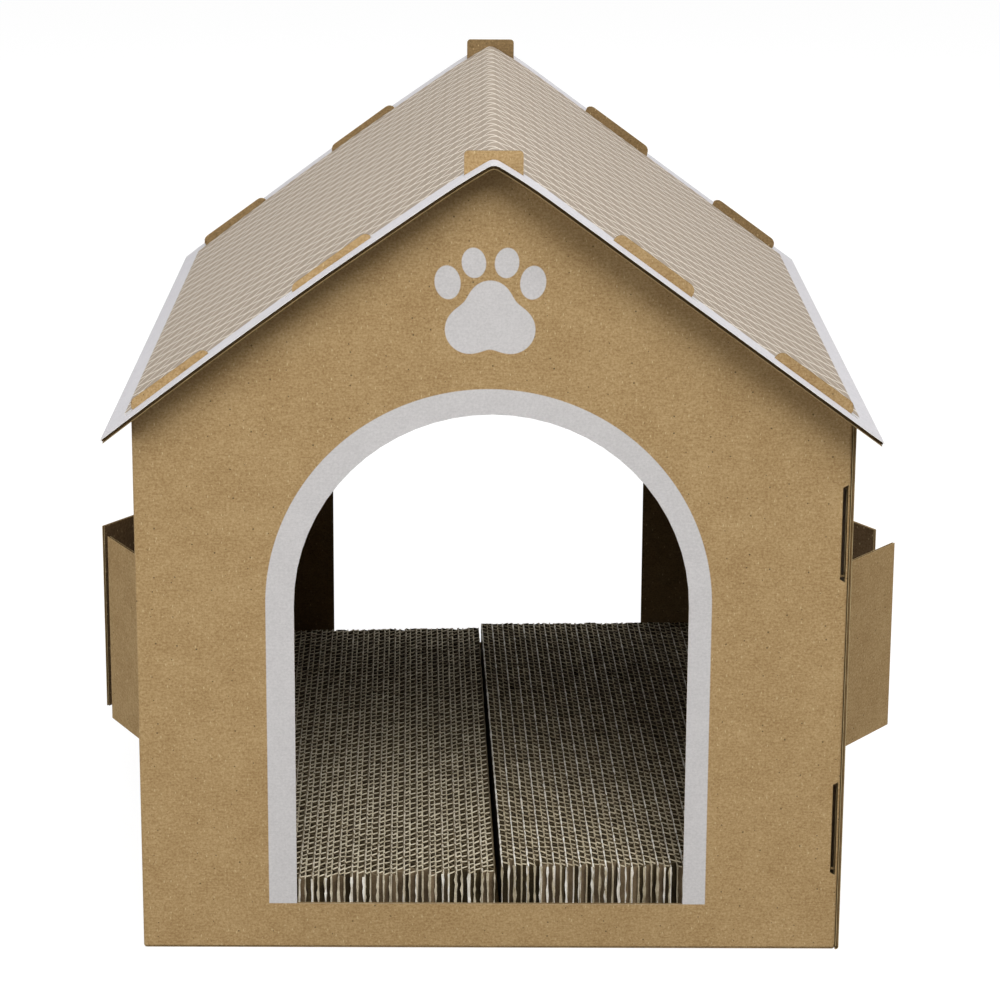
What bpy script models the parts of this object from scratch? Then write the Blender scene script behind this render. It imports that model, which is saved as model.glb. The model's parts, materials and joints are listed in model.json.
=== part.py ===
"""Cat house folded from corrugated board.

A wrap of four walls locks at one corner and stands on its own floor flaps. The roof is one creased sheet that drops
over tabs on the two gable walls. Two side windows have a pair of shutters each, and two scratch pads lie inside.
Every stretch of board between two creases is one object. Metres, +Z up, the front faces -Y, and the origin is on
the ground under the middle of the floor.
"""

import math

import bmesh
import bpy
from mathutils import Matrix

# The board and the play left between neighbours
BOARD = 0.0016
GAP = 0.0003

# Body
BODY_WIDTH = 0.360
BODY_DEPTH = 0.450
ROOF_SLOPE = math.radians(36.0)
RIDGE_TOP = 0.4139
RIDGE_RADIUS = 0.015
GABLE_OVERHANG = 0.018
EAVE_OVERHANG = 0.0135

# Arched doorways in both gable walls
DOOR_WIDTH = 0.200
DOOR_SILL = 0.025
DOOR_SPRING = 0.186

# Windows in both side walls
WINDOW_WIDTH = 0.166
WINDOW_HEIGHT = 0.110
WINDOW_SILL = 0.052
SHUTTER_OPENINGS = {
    "left_front": math.radians(27.8),
    "left_rear": math.radians(32.3),
    "right_front": math.radians(36.6),
    "right_rear": math.radians(30.6),
}

# Tabs on the gable walls that come through the roof
TAB_LENGTH = 0.048
TAB_RISE = 0.0047
TAB_RADIUS = 0.004
TAB_PITCH = 0.100
TAB_TO_CORNER = 0.0027
RIDGE_TAB_WIDTH = 0.029
RIDGE_TAB_RISE = 0.0042
RIDGE_TAB_RADIUS = 0.002
SLOT_END_PLAY = 0.0006
SLOT_SIDE_PLAY = 0.0004

# Lock at the front right corner
LOCK_HEIGHT = 0.048
LOWER_LOCK_RISE = 0.067  # from the ground to the lower lock's middle
UPPER_LOCK_DROP = 0.0593  # from the wall's corner down to the upper lock's middle
LOCK_NOTCH_DEPTH = 0.004
LOCK_CHAMFER = 0.003
LOCK_TONGUE_LENGTH = 0.026
LOCK_TONGUE_SETBACK = 0.0008
LOCK_FLAP_DEPTH = 0.030
LOCK_FLAP_MARGIN = 0.006

# Floor flaps
FLOOR_FLAP_DEPTH = 0.060

# Scratch pads of double-wall strips set on edge
STRIP_PITCH = 0.00678
PAD_LENGTH_PLAY = 0.0098
PAD_SIDE_PLAY = 0.001
PAD_HEIGHTS = {"left": 0.0328, "right": 0.0362}
PAD_TURNS = {"left": math.radians(1.1), "right": math.radians(1.35)}
PAD_SPACING = 0.0035  # at the front, where the two turns leave it widest
PAD_SEAM_OFFSET = 0.0044  # the seam's front end, right of the middle
PAD_END_PLAY = 0.0007
STRIP_GROOVE_WIDTH = 0.0006
STRIP_GROOVE_DEPTH = 0.0012

ARC_STEPS = 32
CORNER_STEPS = 4
RIDGE_STEPS = 6

# Sizes that follow from the ones above
COS = math.cos(ROOF_SLOPE)
SIN = math.sin(ROOF_SLOPE)
RIDGE_CENTRE = RIDGE_TOP - RIDGE_RADIUS
SLOPES_MEET = RIDGE_CENTRE + RIDGE_RADIUS / COS
HALF_WIDTH = BODY_WIDTH / 2
HALF_DEPTH = BODY_DEPTH / 2
GABLE_EDGE_DROP = BOARD + GAP
INNER_DEPTH = HALF_DEPTH - BOARD
LEFT_OUTER = -HALF_WIDTH
RIGHT_INNER = HALF_WIDTH + GAP
RIGHT_OUTER = RIGHT_INNER + BOARD
EAVE_ALONG = (HALF_WIDTH + EAVE_OVERHANG) / COS
CORNER_ALONG = (HALF_WIDTH + GABLE_EDGE_DROP * SIN) / COS
LOWER_TAB_ALONG = CORNER_ALONG - TAB_TO_CORNER - TAB_LENGTH / 2
UPPER_TAB_ALONG = LOWER_TAB_ALONG - TAB_PITCH
CORNER_HEIGHT = SLOPES_MEET - (HALF_WIDTH * SIN + GABLE_EDGE_DROP) / COS
LOCK_CENTRES = {"lower": LOWER_LOCK_RISE, "upper": CORNER_HEIGHT - UPPER_LOCK_DROP}
FLOOR_TOP = BOARD + GAP
FLAP_TOP = FLOOR_TOP + BOARD
PAD_BOTTOM = FLAP_TOP + GAP
PAD_LENGTH = 2 * INNER_DEPTH - PAD_LENGTH_PLAY
PAD_ROOM = HALF_WIDTH - BOARD - PAD_SIDE_PLAY - PAD_SEAM_OFFSET - PAD_SPACING / 2
STRIP_COUNT = int(PAD_ROOM / STRIP_PITCH)
PAD_WIDTH = STRIP_PITCH * STRIP_COUNT

KRAFT = (0.45, 0.29, 0.12)
KRAFT_INSIDE = (0.34, 0.21, 0.09)
ROOF_PRINT = (0.56, 0.47, 0.37)
PAD_BOARD = (0.24, 0.19, 0.12)


def clear_scene():
    """Removes what is in the scene."""
    for thing in list(bpy.data.objects):
        bpy.data.objects.remove(thing, do_unlink=True)


def new_collection(name):
    """A collection linked to the scene."""
    collection = bpy.data.collections.new(name)
    bpy.context.scene.collection.children.link(collection)
    return collection


def board_material(name, colour):
    """Uncoated board: matt, no metal."""
    material = bpy.data.materials.new(name)
    material.use_nodes = True
    shader = material.node_tree.nodes["Principled BSDF"]
    shader.inputs["Base Color"].default_value = (*colour, 1.0)
    shader.inputs["Roughness"].default_value = 0.85
    shader.inputs["Metallic"].default_value = 0.0
    return material


def arc(centre, radius, first, last, steps):
    """Points on an arc between two angles, both ends included."""
    points = []
    for i in range(steps + 1):
        angle = first + (last - first) * i / steps
        points.append((centre[0] + radius * math.cos(angle), centre[1] + radius * math.sin(angle)))
    return points


def rectangle(low_x, low_y, high_x, high_y):
    """The four corners of a rectangle."""
    return [(low_x, low_y), (high_x, low_y), (high_x, high_y), (low_x, high_y)]


def slope_point(along, lift):
    """A point on the right slope: its distance from where the slopes meet, and its height off the roof's face."""
    return (along * COS + lift * SIN, SLOPES_MEET - along * SIN + lift * COS)


def roof_underside(x):
    """Height of the roof's underside over a place at this distance from the middle, on the straight slope."""
    return SLOPES_MEET - x * SIN / COS - BOARD / COS


def mirrored(points):
    """The same outline on the other side of the middle, in the order that carries on round."""
    return [(-x, z) for x, z in reversed(points)]


FACING_FRONT = (math.pi / 2, 0.0, 0.0)
FACING_SIDE = (math.pi / 2, 0.0, math.pi / 2)
LYING_FLAT = (0.0, 0.0, 0.0)


def sheet(name, outlines, thickness, place, turn, material, collection, parent=None):
    """A flat piece: closed outlines, the first one its edge and the others its holes."""
    curve = bpy.data.curves.new(name, "CURVE")
    curve.dimensions = "2D"
    curve.fill_mode = "BOTH"
    curve.extrude = thickness / 2
    for outline in outlines:
        spline = curve.splines.new("POLY")
        spline.points.add(len(outline) - 1)
        for point, (x, y) in zip(spline.points, outline):
            point.co = (x, y, 0.0, 1.0)
        spline.use_cyclic_u = True
    piece = bpy.data.objects.new(name, curve)
    piece.location = place
    piece.rotation_euler = turn
    piece.parent = parent
    curve.materials.append(material)
    collection.objects.link(piece)
    return piece


def as_mesh(piece, collection):
    """The same piece as a mesh with its caps welded, which a Boolean can cut."""
    bpy.context.view_layer.update()
    graph = bpy.context.evaluated_depsgraph_get()
    mesh = bpy.data.meshes.new_from_object(piece.evaluated_get(graph))
    shape = bmesh.new()
    shape.from_mesh(mesh)
    bmesh.ops.remove_doubles(shape, verts=shape.verts, dist=0.00001)
    bmesh.ops.recalc_face_normals(shape, faces=shape.faces)
    shape.to_mesh(mesh)
    shape.free()
    name = piece.name
    matrix = piece.matrix_world.copy()
    bpy.data.objects.remove(piece, do_unlink=True)
    solid = bpy.data.objects.new(name, mesh)
    solid.matrix_world = matrix
    collection.objects.link(solid)
    return solid


def box_cutter(name, size, matrix, collection):
    """A box that cuts a slot: its size, and where it stands."""
    shape = bmesh.new()
    bmesh.ops.create_cube(shape, size=1.0, matrix=Matrix.Diagonal((*size, 1.0)))
    mesh = bpy.data.meshes.new(name)
    shape.to_mesh(mesh)
    shape.free()
    cutter = bpy.data.objects.new(name, mesh)
    cutter.matrix_world = matrix
    cutter.hide_render = True
    cutter.display_type = "WIRE"
    collection.objects.link(cutter)
    return cutter


def cut(piece, cutter):
    """Cuts one slot out of a piece."""
    modifier = piece.modifiers.new(cutter.name, "BOOLEAN")
    modifier.operation = "DIFFERENCE"
    modifier.solver = "EXACT"
    modifier.object = cutter


def tab_outline(along):
    """One roof tab on the right slope, from its lower end to its upper end."""
    lower = along + TAB_LENGTH / 2
    upper = along - TAB_LENGTH / 2
    foot = -GABLE_EDGE_DROP
    shoulder = TAB_RISE - TAB_RADIUS
    places = [(lower, foot)]
    places += arc((lower - TAB_RADIUS, shoulder), TAB_RADIUS, 0.0, math.pi / 2, CORNER_STEPS)
    places += arc((upper + TAB_RADIUS, shoulder), TAB_RADIUS, math.pi / 2, math.pi, CORNER_STEPS)
    places.append((upper, foot))
    return [slope_point(a, lift) for a, lift in places]


def ridge_edge():
    """The round stretch of a gable's edge beside the ridge tab, where the tab is narrower than the round."""
    radius = RIDGE_RADIUS - GABLE_EDGE_DROP
    rounded = arc((0.0, RIDGE_CENTRE), radius, math.pi / 2 - ROOF_SLOPE, math.pi / 2, RIDGE_STEPS)
    half = RIDGE_TAB_WIDTH / 2
    kept = [point for point in rounded if point[0] > half + GAP]
    if kept:
        foot = RIDGE_CENTRE + math.sqrt(radius**2 - half**2)
    else:
        foot = roof_underside(half) - GAP / COS
    return kept + [(half, foot)]


def ridge_tab_side():
    """The right half of the ridge tab's top."""
    half = RIDGE_TAB_WIDTH / 2
    shoulder = (half - RIDGE_TAB_RADIUS, RIDGE_TOP + RIDGE_TAB_RISE - RIDGE_TAB_RADIUS)
    return arc(shoulder, RIDGE_TAB_RADIUS, 0.0, math.pi / 2, CORNER_STEPS)


def gable_side():
    """The right half of a gable's sloping edge, from the wall's corner up to the middle of the ridge tab."""
    side = [slope_point(CORNER_ALONG, -GABLE_EDGE_DROP)]
    side += tab_outline(LOWER_TAB_ALONG)
    side += tab_outline(UPPER_TAB_ALONG)
    side += ridge_edge()
    side += ridge_tab_side()
    return side


def notched_edge(edge, inward, centres, chamfer):
    """A straight upright edge with a notch at each lock, from the bottom up. The notch goes inward from the edge."""
    points = []
    for centre in centres:
        low = centre - LOCK_HEIGHT / 2
        high = centre + LOCK_HEIGHT / 2
        points += [(edge, low - chamfer), (edge + inward, low), (edge + inward, high), (edge, high + chamfer)]
    return points


def door_hole():
    """The arched doorway."""
    half = DOOR_WIDTH / 2
    return [(-half, DOOR_SILL), (half, DOOR_SILL)] + arc((0.0, DOOR_SPRING), half, 0.0, math.pi, ARC_STEPS)


def make_gable_walls(material, collection):
    """Front and back wall: gable, doorway and roof tabs. The front one has the lock's notches at its right edge."""
    side = gable_side()
    top = side + mirrored(side)
    foot = [(-HALF_WIDTH, 0.0), (HALF_WIDTH, 0.0)]
    notches = notched_edge(HALF_WIDTH, -LOCK_NOTCH_DEPTH, sorted(LOCK_CENTRES.values()), LOCK_CHAMFER)
    middle = HALF_DEPTH - BOARD / 2
    sheet("front_wall", [foot + notches + top, door_hole()], BOARD, (0, -middle, 0), FACING_FRONT, material, collection)
    sheet("back_wall", [foot + top, door_hole()], BOARD, (0, middle, 0), FACING_FRONT, material, collection)


def window_hole():
    """The window in a side wall."""
    return rectangle(-WINDOW_WIDTH / 2, WINDOW_SILL, WINDOW_WIDTH / 2, WINDOW_SILL + WINDOW_HEIGHT)


def make_side_walls(material, collection):
    """Left wall between the gable walls, and right wall lapped outside the lock flap and the back wall's end."""
    left_top = roof_underside(HALF_WIDTH) - GAP / COS
    right_top = roof_underside(RIGHT_OUTER) - GAP / COS
    left = rectangle(-INNER_DEPTH + GAP, 0.0, INNER_DEPTH - GAP, left_top)
    right = rectangle(-HALF_DEPTH + GAP, 0.0, HALF_DEPTH, right_top)
    left_place = (LEFT_OUTER + BOARD / 2, 0, 0)
    right_place = (RIGHT_OUTER - BOARD / 2, 0, 0)
    sheet("left_wall", [left, window_hole()], BOARD, left_place, FACING_SIDE, material, collection)
    sheet("right_wall", [right, window_hole()], BOARD, right_place, FACING_SIDE, material, collection)


def make_lock(material, collection):
    """Flap folded back from the front wall, and the right wall's two tongues that pass through its notches."""
    front = -INNER_DEPTH + GAP
    tongue_back = front + LOCK_TONGUE_SETBACK + BOARD
    notch = tongue_back + GAP - front
    high = roof_underside(HALF_WIDTH) - LOCK_FLAP_MARGIN
    low = FLAP_TOP + LOCK_FLAP_MARGIN
    back = front + LOCK_FLAP_DEPTH
    flap = [(back, high), (back, low), (front, low)]
    flap += notched_edge(front, notch, sorted(LOCK_CENTRES.values()), GAP)
    flap.append((front, high))
    flap.reverse()
    sheet("lock_flap", [flap], BOARD, (HALF_WIDTH - BOARD / 2, 0, 0), FACING_SIDE, material, collection)
    for level, centre in LOCK_CENTRES.items():
        half = LOCK_HEIGHT / 2 - GAP
        outline = [
            (HALF_WIDTH, centre - half),
            (HALF_WIDTH, centre + half),
            (HALF_WIDTH - LOCK_TONGUE_LENGTH, centre + half - LOCK_CHAMFER),
            (HALF_WIDTH - LOCK_TONGUE_LENGTH, centre - half + LOCK_CHAMFER),
        ]
        place = (0, tongue_back - BOARD / 2, 0)
        sheet(f"{level}_lock_tongue", [outline], BOARD, place, FACING_FRONT, material, collection)


def make_floor(material, collection):
    """Floor panel folded in from the front wall, and three flaps from the other walls that lie on it."""
    side = HALF_WIDTH - BOARD - GAP
    end = INNER_DEPTH - GAP
    flap = side - FLOOR_FLAP_DEPTH
    floor = rectangle(-side, -end, side, end)
    left = rectangle(-side, -end, -flap, end)
    right = rectangle(flap, -end, side, end)
    back = rectangle(-flap + GAP, end - FLOOR_FLAP_DEPTH, flap - GAP, end)
    middle = FLOOR_TOP + BOARD / 2
    sheet("floor_panel", [floor], BOARD, (0, 0, BOARD / 2), LYING_FLAT, material, collection)
    sheet("left_floor_flap", [left], BOARD, (0, 0, middle), LYING_FLAT, material, collection)
    sheet("right_floor_flap", [right], BOARD, (0, 0, middle), LYING_FLAT, material, collection)
    sheet("back_floor_flap", [back], BOARD, (0, 0, middle), LYING_FLAT, material, collection)


def make_shutters(material, collection):
    """Four shutters, each on an empty that stands on its crease and is turned by how far the shutter is open."""
    for name, opening in SHUTTER_OPENINGS.items():
        side, end = name.split("_")
        out = 1 if side == "right" else -1
        inward = 1 if end == "front" else -1
        face = RIGHT_OUTER if side == "right" else LEFT_OUTER
        crease = bpy.data.objects.new(f"{name}_crease", None)
        crease.location = (face, -inward * WINDOW_WIDTH / 2, WINDOW_SILL)
        crease.rotation_euler = (0, 0, -out * inward * opening)
        collection.objects.link(crease)
        ends = sorted((inward * GAP, inward * (WINDOW_WIDTH / 2 - GAP / 2)))
        leaf = rectangle(ends[0], GAP, ends[1], WINDOW_HEIGHT - GAP)
        place = (-out * BOARD / 2, 0, 0)
        sheet(f"{name}_shutter", [leaf], BOARD, place, FACING_SIDE, material, collection, crease)


def roof_profile():
    """The right roof leaf end on, measured from the top of the ridge: straight slope and half the rounded crease."""
    outer_split = math.asin(GAP / 2 / RIDGE_RADIUS)
    inner_radius = RIDGE_RADIUS - BOARD
    inner_split = math.asin(GAP / 2 / inner_radius)
    centre = (0.0, RIDGE_CENTRE)
    steep = math.pi / 2 - ROOF_SLOPE
    points = [slope_point(EAVE_ALONG, -BOARD), slope_point(EAVE_ALONG, 0.0)]
    points += arc(centre, RIDGE_RADIUS, steep, math.pi / 2 - outer_split, RIDGE_STEPS)
    points += arc(centre, inner_radius, math.pi / 2 - inner_split, steep, RIDGE_STEPS)
    return [(x, z - RIDGE_TOP) for x, z in points]


def make_slot_cutters(collection):
    """Boxes that cut the roof's slots, each a tab with play round it. The lower end has room to lift straight up."""
    wide = BOARD + 2 * SLOT_SIDE_PLAY
    tall = 4 * BOARD
    lift_play = (BOARD + TAB_RISE) * SIN / COS
    cutters = {"left": [], "right": [], "both": []}
    for gable, y in (("front", -HALF_DEPTH + BOARD / 2), ("back", HALF_DEPTH - BOARD / 2)):
        for level, along in (("lower", LOWER_TAB_ALONG), ("upper", UPPER_TAB_ALONG)):
            top = along - TAB_LENGTH / 2 - SLOT_END_PLAY
            bottom = along + TAB_LENGTH / 2 + lift_play
            x, z = slope_point((top + bottom) / 2, -BOARD / 2)
            for side, way in (("left", -1), ("right", 1)):
                stand = Matrix.Translation((way * x, y, z)) @ Matrix.Rotation(way * ROOF_SLOPE, 4, "Y")
                size = (bottom - top, wide, tall)
                cutters[side].append(box_cutter(f"{gable}_{level}_{side}_slot", size, stand, collection))
        size = (RIDGE_TAB_WIDTH + 2 * SLOT_END_PLAY, wide, 2 * RIDGE_RADIUS)
        stand = Matrix.Translation((0, y, RIDGE_CENTRE + RIDGE_RADIUS / 2))
        cutters["both"].append(box_cutter(f"{gable}_ridge_slot", size, stand, collection))
    return cutters


def make_roof(material, collection, cutter_collection):
    """Two roof leaves that meet at the ridge's crease, with a slot for each tab."""
    profile = roof_profile()
    cutters = make_slot_cutters(cutter_collection)
    length = BODY_DEPTH + 2 * GABLE_OVERHANG
    for side, outline in (("left", mirrored(profile)), ("right", profile)):
        flat = sheet(f"roof_{side}", [outline], length, (0, 0, RIDGE_TOP), FACING_FRONT, material, collection)
        leaf = as_mesh(flat, collection)
        for cutter in cutters[side] + cutters["both"]:
            cut(leaf, cutter)


def pad_profile(height):
    """A pad end on, from its lower inner corner: strips of board side by side, with a groove between their tops."""
    points = [(0.0, 0.0), (PAD_WIDTH, 0.0), (PAD_WIDTH, height)]
    for i in range(STRIP_COUNT - 1, 0, -1):
        seam = i * STRIP_PITCH
        points.append((seam + STRIP_GROOVE_WIDTH / 2, height))
        points.append((seam, height - STRIP_GROOVE_DEPTH))
        points.append((seam - STRIP_GROOVE_WIDTH / 2, height))
    points.append((0.0, height))
    return points


def make_pads(material, collection):
    """Two pads side by side, turned a little in the house: the left one lies forward and the right one back."""
    inner_end = INNER_DEPTH - PAD_END_PLAY
    for side, way in (("left", -1), ("right", 1)):
        turn = PAD_TURNS[side]
        swing = PAD_WIDTH * math.sin(turn)
        reach = PAD_LENGTH * math.cos(turn)
        corner_x = PAD_SEAM_OFFSET + way * PAD_SPACING / 2
        corner_y = swing - inner_end if side == "left" else inner_end - swing - reach
        profile = pad_profile(PAD_HEIGHTS[side])
        outline = mirrored(profile) if side == "left" else profile
        place = (corner_x - PAD_LENGTH / 2 * math.sin(turn), corner_y + reach / 2, PAD_BOTTOM)
        sheet(f"{side}_scratch_pad", [outline], PAD_LENGTH, place, (math.pi / 2, 0.0, turn), material, collection)


def main():
    """Builds the whole cat house."""
    clear_scene()
    house = new_collection("cat_house")
    cutters = new_collection("cutters")
    kraft = board_material("kraft_board", KRAFT)
    inside = board_material("kraft_board_inside", KRAFT_INSIDE)
    printed = board_material("printed_roof_board", ROOF_PRINT)
    pad = board_material("scratch_pad_board", PAD_BOARD)
    make_gable_walls(kraft, house)
    make_side_walls(kraft, house)
    make_lock(inside, house)
    make_floor(inside, house)
    make_shutters(kraft, house)
    make_roof(printed, house, cutters)
    make_pads(pad, house)


main()
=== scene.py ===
"""Cat house of corrugated board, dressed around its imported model.

Every panel is real board: an outer liner, an inner liner and a fluted medium between them, cut to the outline
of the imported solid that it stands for. The outer liner carries on round the folded edges. The roof and the
gables carry their flexographic print, and the two scratch pads are built strip by strip.
"""

import json
import logging
import math
import random
from collections.abc import Callable, Iterable, Sequence
from dataclasses import dataclass, field
from enum import Enum
from typing import TypeVar

import bmesh
import bpy
from mathutils import Matrix, Vector


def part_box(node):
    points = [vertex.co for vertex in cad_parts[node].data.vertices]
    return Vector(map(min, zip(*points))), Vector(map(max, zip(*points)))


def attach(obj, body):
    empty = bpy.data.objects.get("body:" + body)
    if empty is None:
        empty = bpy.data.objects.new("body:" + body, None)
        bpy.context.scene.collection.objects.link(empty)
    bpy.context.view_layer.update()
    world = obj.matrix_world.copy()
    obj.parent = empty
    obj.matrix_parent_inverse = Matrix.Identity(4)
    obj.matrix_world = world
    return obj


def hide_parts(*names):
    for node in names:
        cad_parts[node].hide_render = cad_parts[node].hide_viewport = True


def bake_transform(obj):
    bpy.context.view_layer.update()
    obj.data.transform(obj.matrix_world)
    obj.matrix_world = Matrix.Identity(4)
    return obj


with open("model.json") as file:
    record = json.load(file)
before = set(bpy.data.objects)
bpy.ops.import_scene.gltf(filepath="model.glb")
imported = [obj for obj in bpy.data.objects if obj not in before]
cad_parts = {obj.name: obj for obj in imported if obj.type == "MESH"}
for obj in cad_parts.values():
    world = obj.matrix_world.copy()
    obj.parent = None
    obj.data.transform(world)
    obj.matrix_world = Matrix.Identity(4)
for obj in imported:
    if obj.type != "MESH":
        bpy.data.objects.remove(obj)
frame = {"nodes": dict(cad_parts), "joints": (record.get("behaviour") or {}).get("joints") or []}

LOG = logging.getLogger("cat_house")
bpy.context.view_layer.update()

MM = 0.001
# Lengths in metres: what counts as nothing, what counts as one place, and the grid of the cells' corners.
TINY = 0.00001
HAIR = TINY / 5
GRID = 1e-7
# The cosine over which two sides run straight on, and that over which faces are part of one flat face.
STRAIGHT = 0.9999999
FLAT = 0.9995

Point2 = tuple[float, float]
Loop = list[Point2]
Depth = Callable[[float, float], float]
Mapping = Callable[[float, float, float], Vector]
Link = bpy.types.Node | bpy.types.NodeSocket | float | tuple[float, ...]
Item = TypeVar("Item")


class Run(Enum):
    """Which way a board's flutes run on its panel."""

    UPRIGHT = 0
    LEVEL = 1


class Side(Enum):
    """An edge of a panel, seen from outside."""

    LEFT = "left"
    RIGHT = "right"
    FOOT = "foot"


class Layer(Enum):
    """The layers of a board and their cut edges, and the places of both among its materials.

    CUT is the inner liner's edge and FACE_CUT the outer liner's.
    """

    OUTER = 0
    INNER = 1
    MEDIUM = 2
    CUT = 3
    FACE_CUT = 4


def linear(colour: str) -> tuple[float, float, float, float]:
    """Turns an sRGB hex colour to linear red, green, blue and alpha.

    Args:
        colour: Six hex digits after a hash sign.

    Returns:
        The colour as a shader takes it.
    """
    channels = [int(colour[i : i + 2], 16) / 255 for i in (1, 3, 5)]
    bright = [c / 12.92 if c <= 0.04045 else ((c + 0.055) / 1.055) ** 2.4 for c in channels]
    return (bright[0], bright[1], bright[2], 1.0)


class Surface:
    """The nodes of a material or a world while it is made, and the one way to add a node to them."""

    def __init__(self, owner: bpy.types.Material | bpy.types.World) -> None:
        """Starts with an empty tree.

        Args:
            owner: The material or the world that the nodes are for.
        """
        self.owner = owner
        owner.use_nodes = True
        self.tree = owner.node_tree
        self.tree.nodes.clear()

    def add(
        self, kind: str, links: dict[str | int, Link] | None = None, **settings: object
    ) -> bpy.types.Node:
        """Adds a node with its settings and links.

        Args:
            kind: The node's type without its prefix.
            links: What goes into each input, by name or number: a node, a socket or a constant.
            **settings: The node's own properties.

        Returns:
            The node.
        """
        node = self.tree.nodes.new("ShaderNode" + kind)
        for key, value in settings.items():
            setattr(node, key, value)
        for key, value in (links or {}).items():
            socket = node.inputs[key] if isinstance(key, int) else self._input(node, key)
            if isinstance(value, bpy.types.Node):
                value = next(output for output in value.outputs if output.enabled)
            if isinstance(value, bpy.types.NodeSocket):
                self.tree.links.new(value, socket)
            else:
                socket.default_value = value
        return node

    @staticmethod
    def _input(node: bpy.types.Node, name: str) -> bpy.types.NodeSocket:
        """The input in use that has this name."""
        return next(socket for socket in node.inputs if socket.enabled and socket.name == name)

    def finish(self, shader: bpy.types.Node) -> bpy.types.Material | bpy.types.World:
        """Wires the shader to the output.

        Args:
            shader: The last node before the output.

        Returns:
            The material or the world, ready for use.
        """
        kind = "OutputWorld" if isinstance(self.owner, bpy.types.World) else "OutputMaterial"
        self.add(kind, {"Surface": shader})
        return self.owner


@dataclass(frozen=True)
class GablePrint:
    """Light grey flexographic print on a gable: a band round the doorway and a paw. Sizes in millimetres.

    The whole print sits a little to the left of the cut, as print on board often does.

    Attributes:
        toes: Each toe's place, half width, half height and lean in degrees.
        pad_discs: The discs that melt into the paw's pad: each one's place and radius.
        pad_softness: How far from each other the discs melt together.
    """

    ink: str = "#C9C6C5"
    shift: float = -1.4
    arch_spring: float = 186.0
    arch_radius: float = 113.0
    arch_foot: float = 25.0
    toes: tuple[tuple[float, float, float, float, float], ...] = (
        (-21.1, 352.9, 6.4, 8.5, 7.0),
        (21.1, 352.9, 6.4, 8.5, -7.0),
        (-8.15, 362.7, 6.0, 7.6, 7.0),
        (8.15, 362.7, 6.0, 7.6, -7.0),
    )
    pad_discs: tuple[tuple[float, float, float], ...] = (
        (-10.1, 329.2, 12.3),
        (10.1, 329.2, 12.3),
        (0.0, 343.0, 10.9),
    )
    pad_softness: float = 12.0
    edge_blur: float = 0.18

    def cover(self, surface: Surface, place: bpy.types.Node) -> tuple[Link, Link]:
        """Adds the nodes that say where ink lies.

        Args:
            surface: The material being made.
            place: The place on the flat board in millimetres.

        Returns:
            How much ink covers the board, and the ink's colour.
        """
        add = surface.add
        parts = add("SeparateXYZ", {"Vector": place})
        across = add("Math", {0: parts.outputs[0], 1: self.shift}, operation="SUBTRACT")
        up = parts.outputs[1]
        rise = add("Math", {0: up, 1: self.arch_spring}, operation="SUBTRACT")
        above = add("Math", {0: rise, 1: 0.0}, operation="MAXIMUM")
        spot = add("CombineXYZ", {"X": across, "Y": above})
        reach = add("VectorMath", {0: spot}, operation="LENGTH")
        outside = add("Math", {0: reach.outputs["Value"], 1: self.arch_radius}, operation="SUBTRACT")
        below = add("Math", {0: self.arch_foot, 1: up}, operation="SUBTRACT")
        shape = add("Math", {0: outside, 1: below}, operation="MAXIMUM")
        flat = add("CombineXYZ", {"X": across, "Y": up})
        pad = None
        for centre_x, centre_z, radius in self.pad_discs:
            gap = add("VectorMath", {0: flat, 1: (centre_x, centre_z, 0.0)}, operation="DISTANCE")
            disc = add("Math", {0: gap.outputs["Value"], 1: radius}, operation="SUBTRACT")
            if pad is None:
                pad = disc
            else:
                pad = add("Math", {0: pad, 1: disc, 2: self.pad_softness}, operation="SMOOTH_MIN")
        shape = add("Math", {0: shape, 1: pad}, operation="MINIMUM")
        for centre_x, centre_z, half_width, half_height, lean in self.toes:
            moved = add(
                "Mapping",
                {
                    "Vector": flat,
                    "Location": (centre_x, centre_z, 0.0),
                    "Rotation": (0.0, 0.0, math.radians(lean)),
                    "Scale": (half_width, half_height, 1.0),
                },
                vector_type="TEXTURE",
            )
            spread = add("VectorMath", {0: moved}, operation="LENGTH")
            beyond = add("Math", {0: spread.outputs["Value"], 1: 1.0}, operation="SUBTRACT")
            toe = add("Math", {0: beyond, 1: half_width}, operation="MULTIPLY")
            shape = add("Math", {0: shape, 1: toe}, operation="MINIMUM")
        blur = self.edge_blur
        edge = {"Value": shape, "From Min": -blur, "From Max": blur, "To Min": 1.0, "To Max": 0.0}
        return add("MapRange", edge), linear(self.ink)


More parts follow.
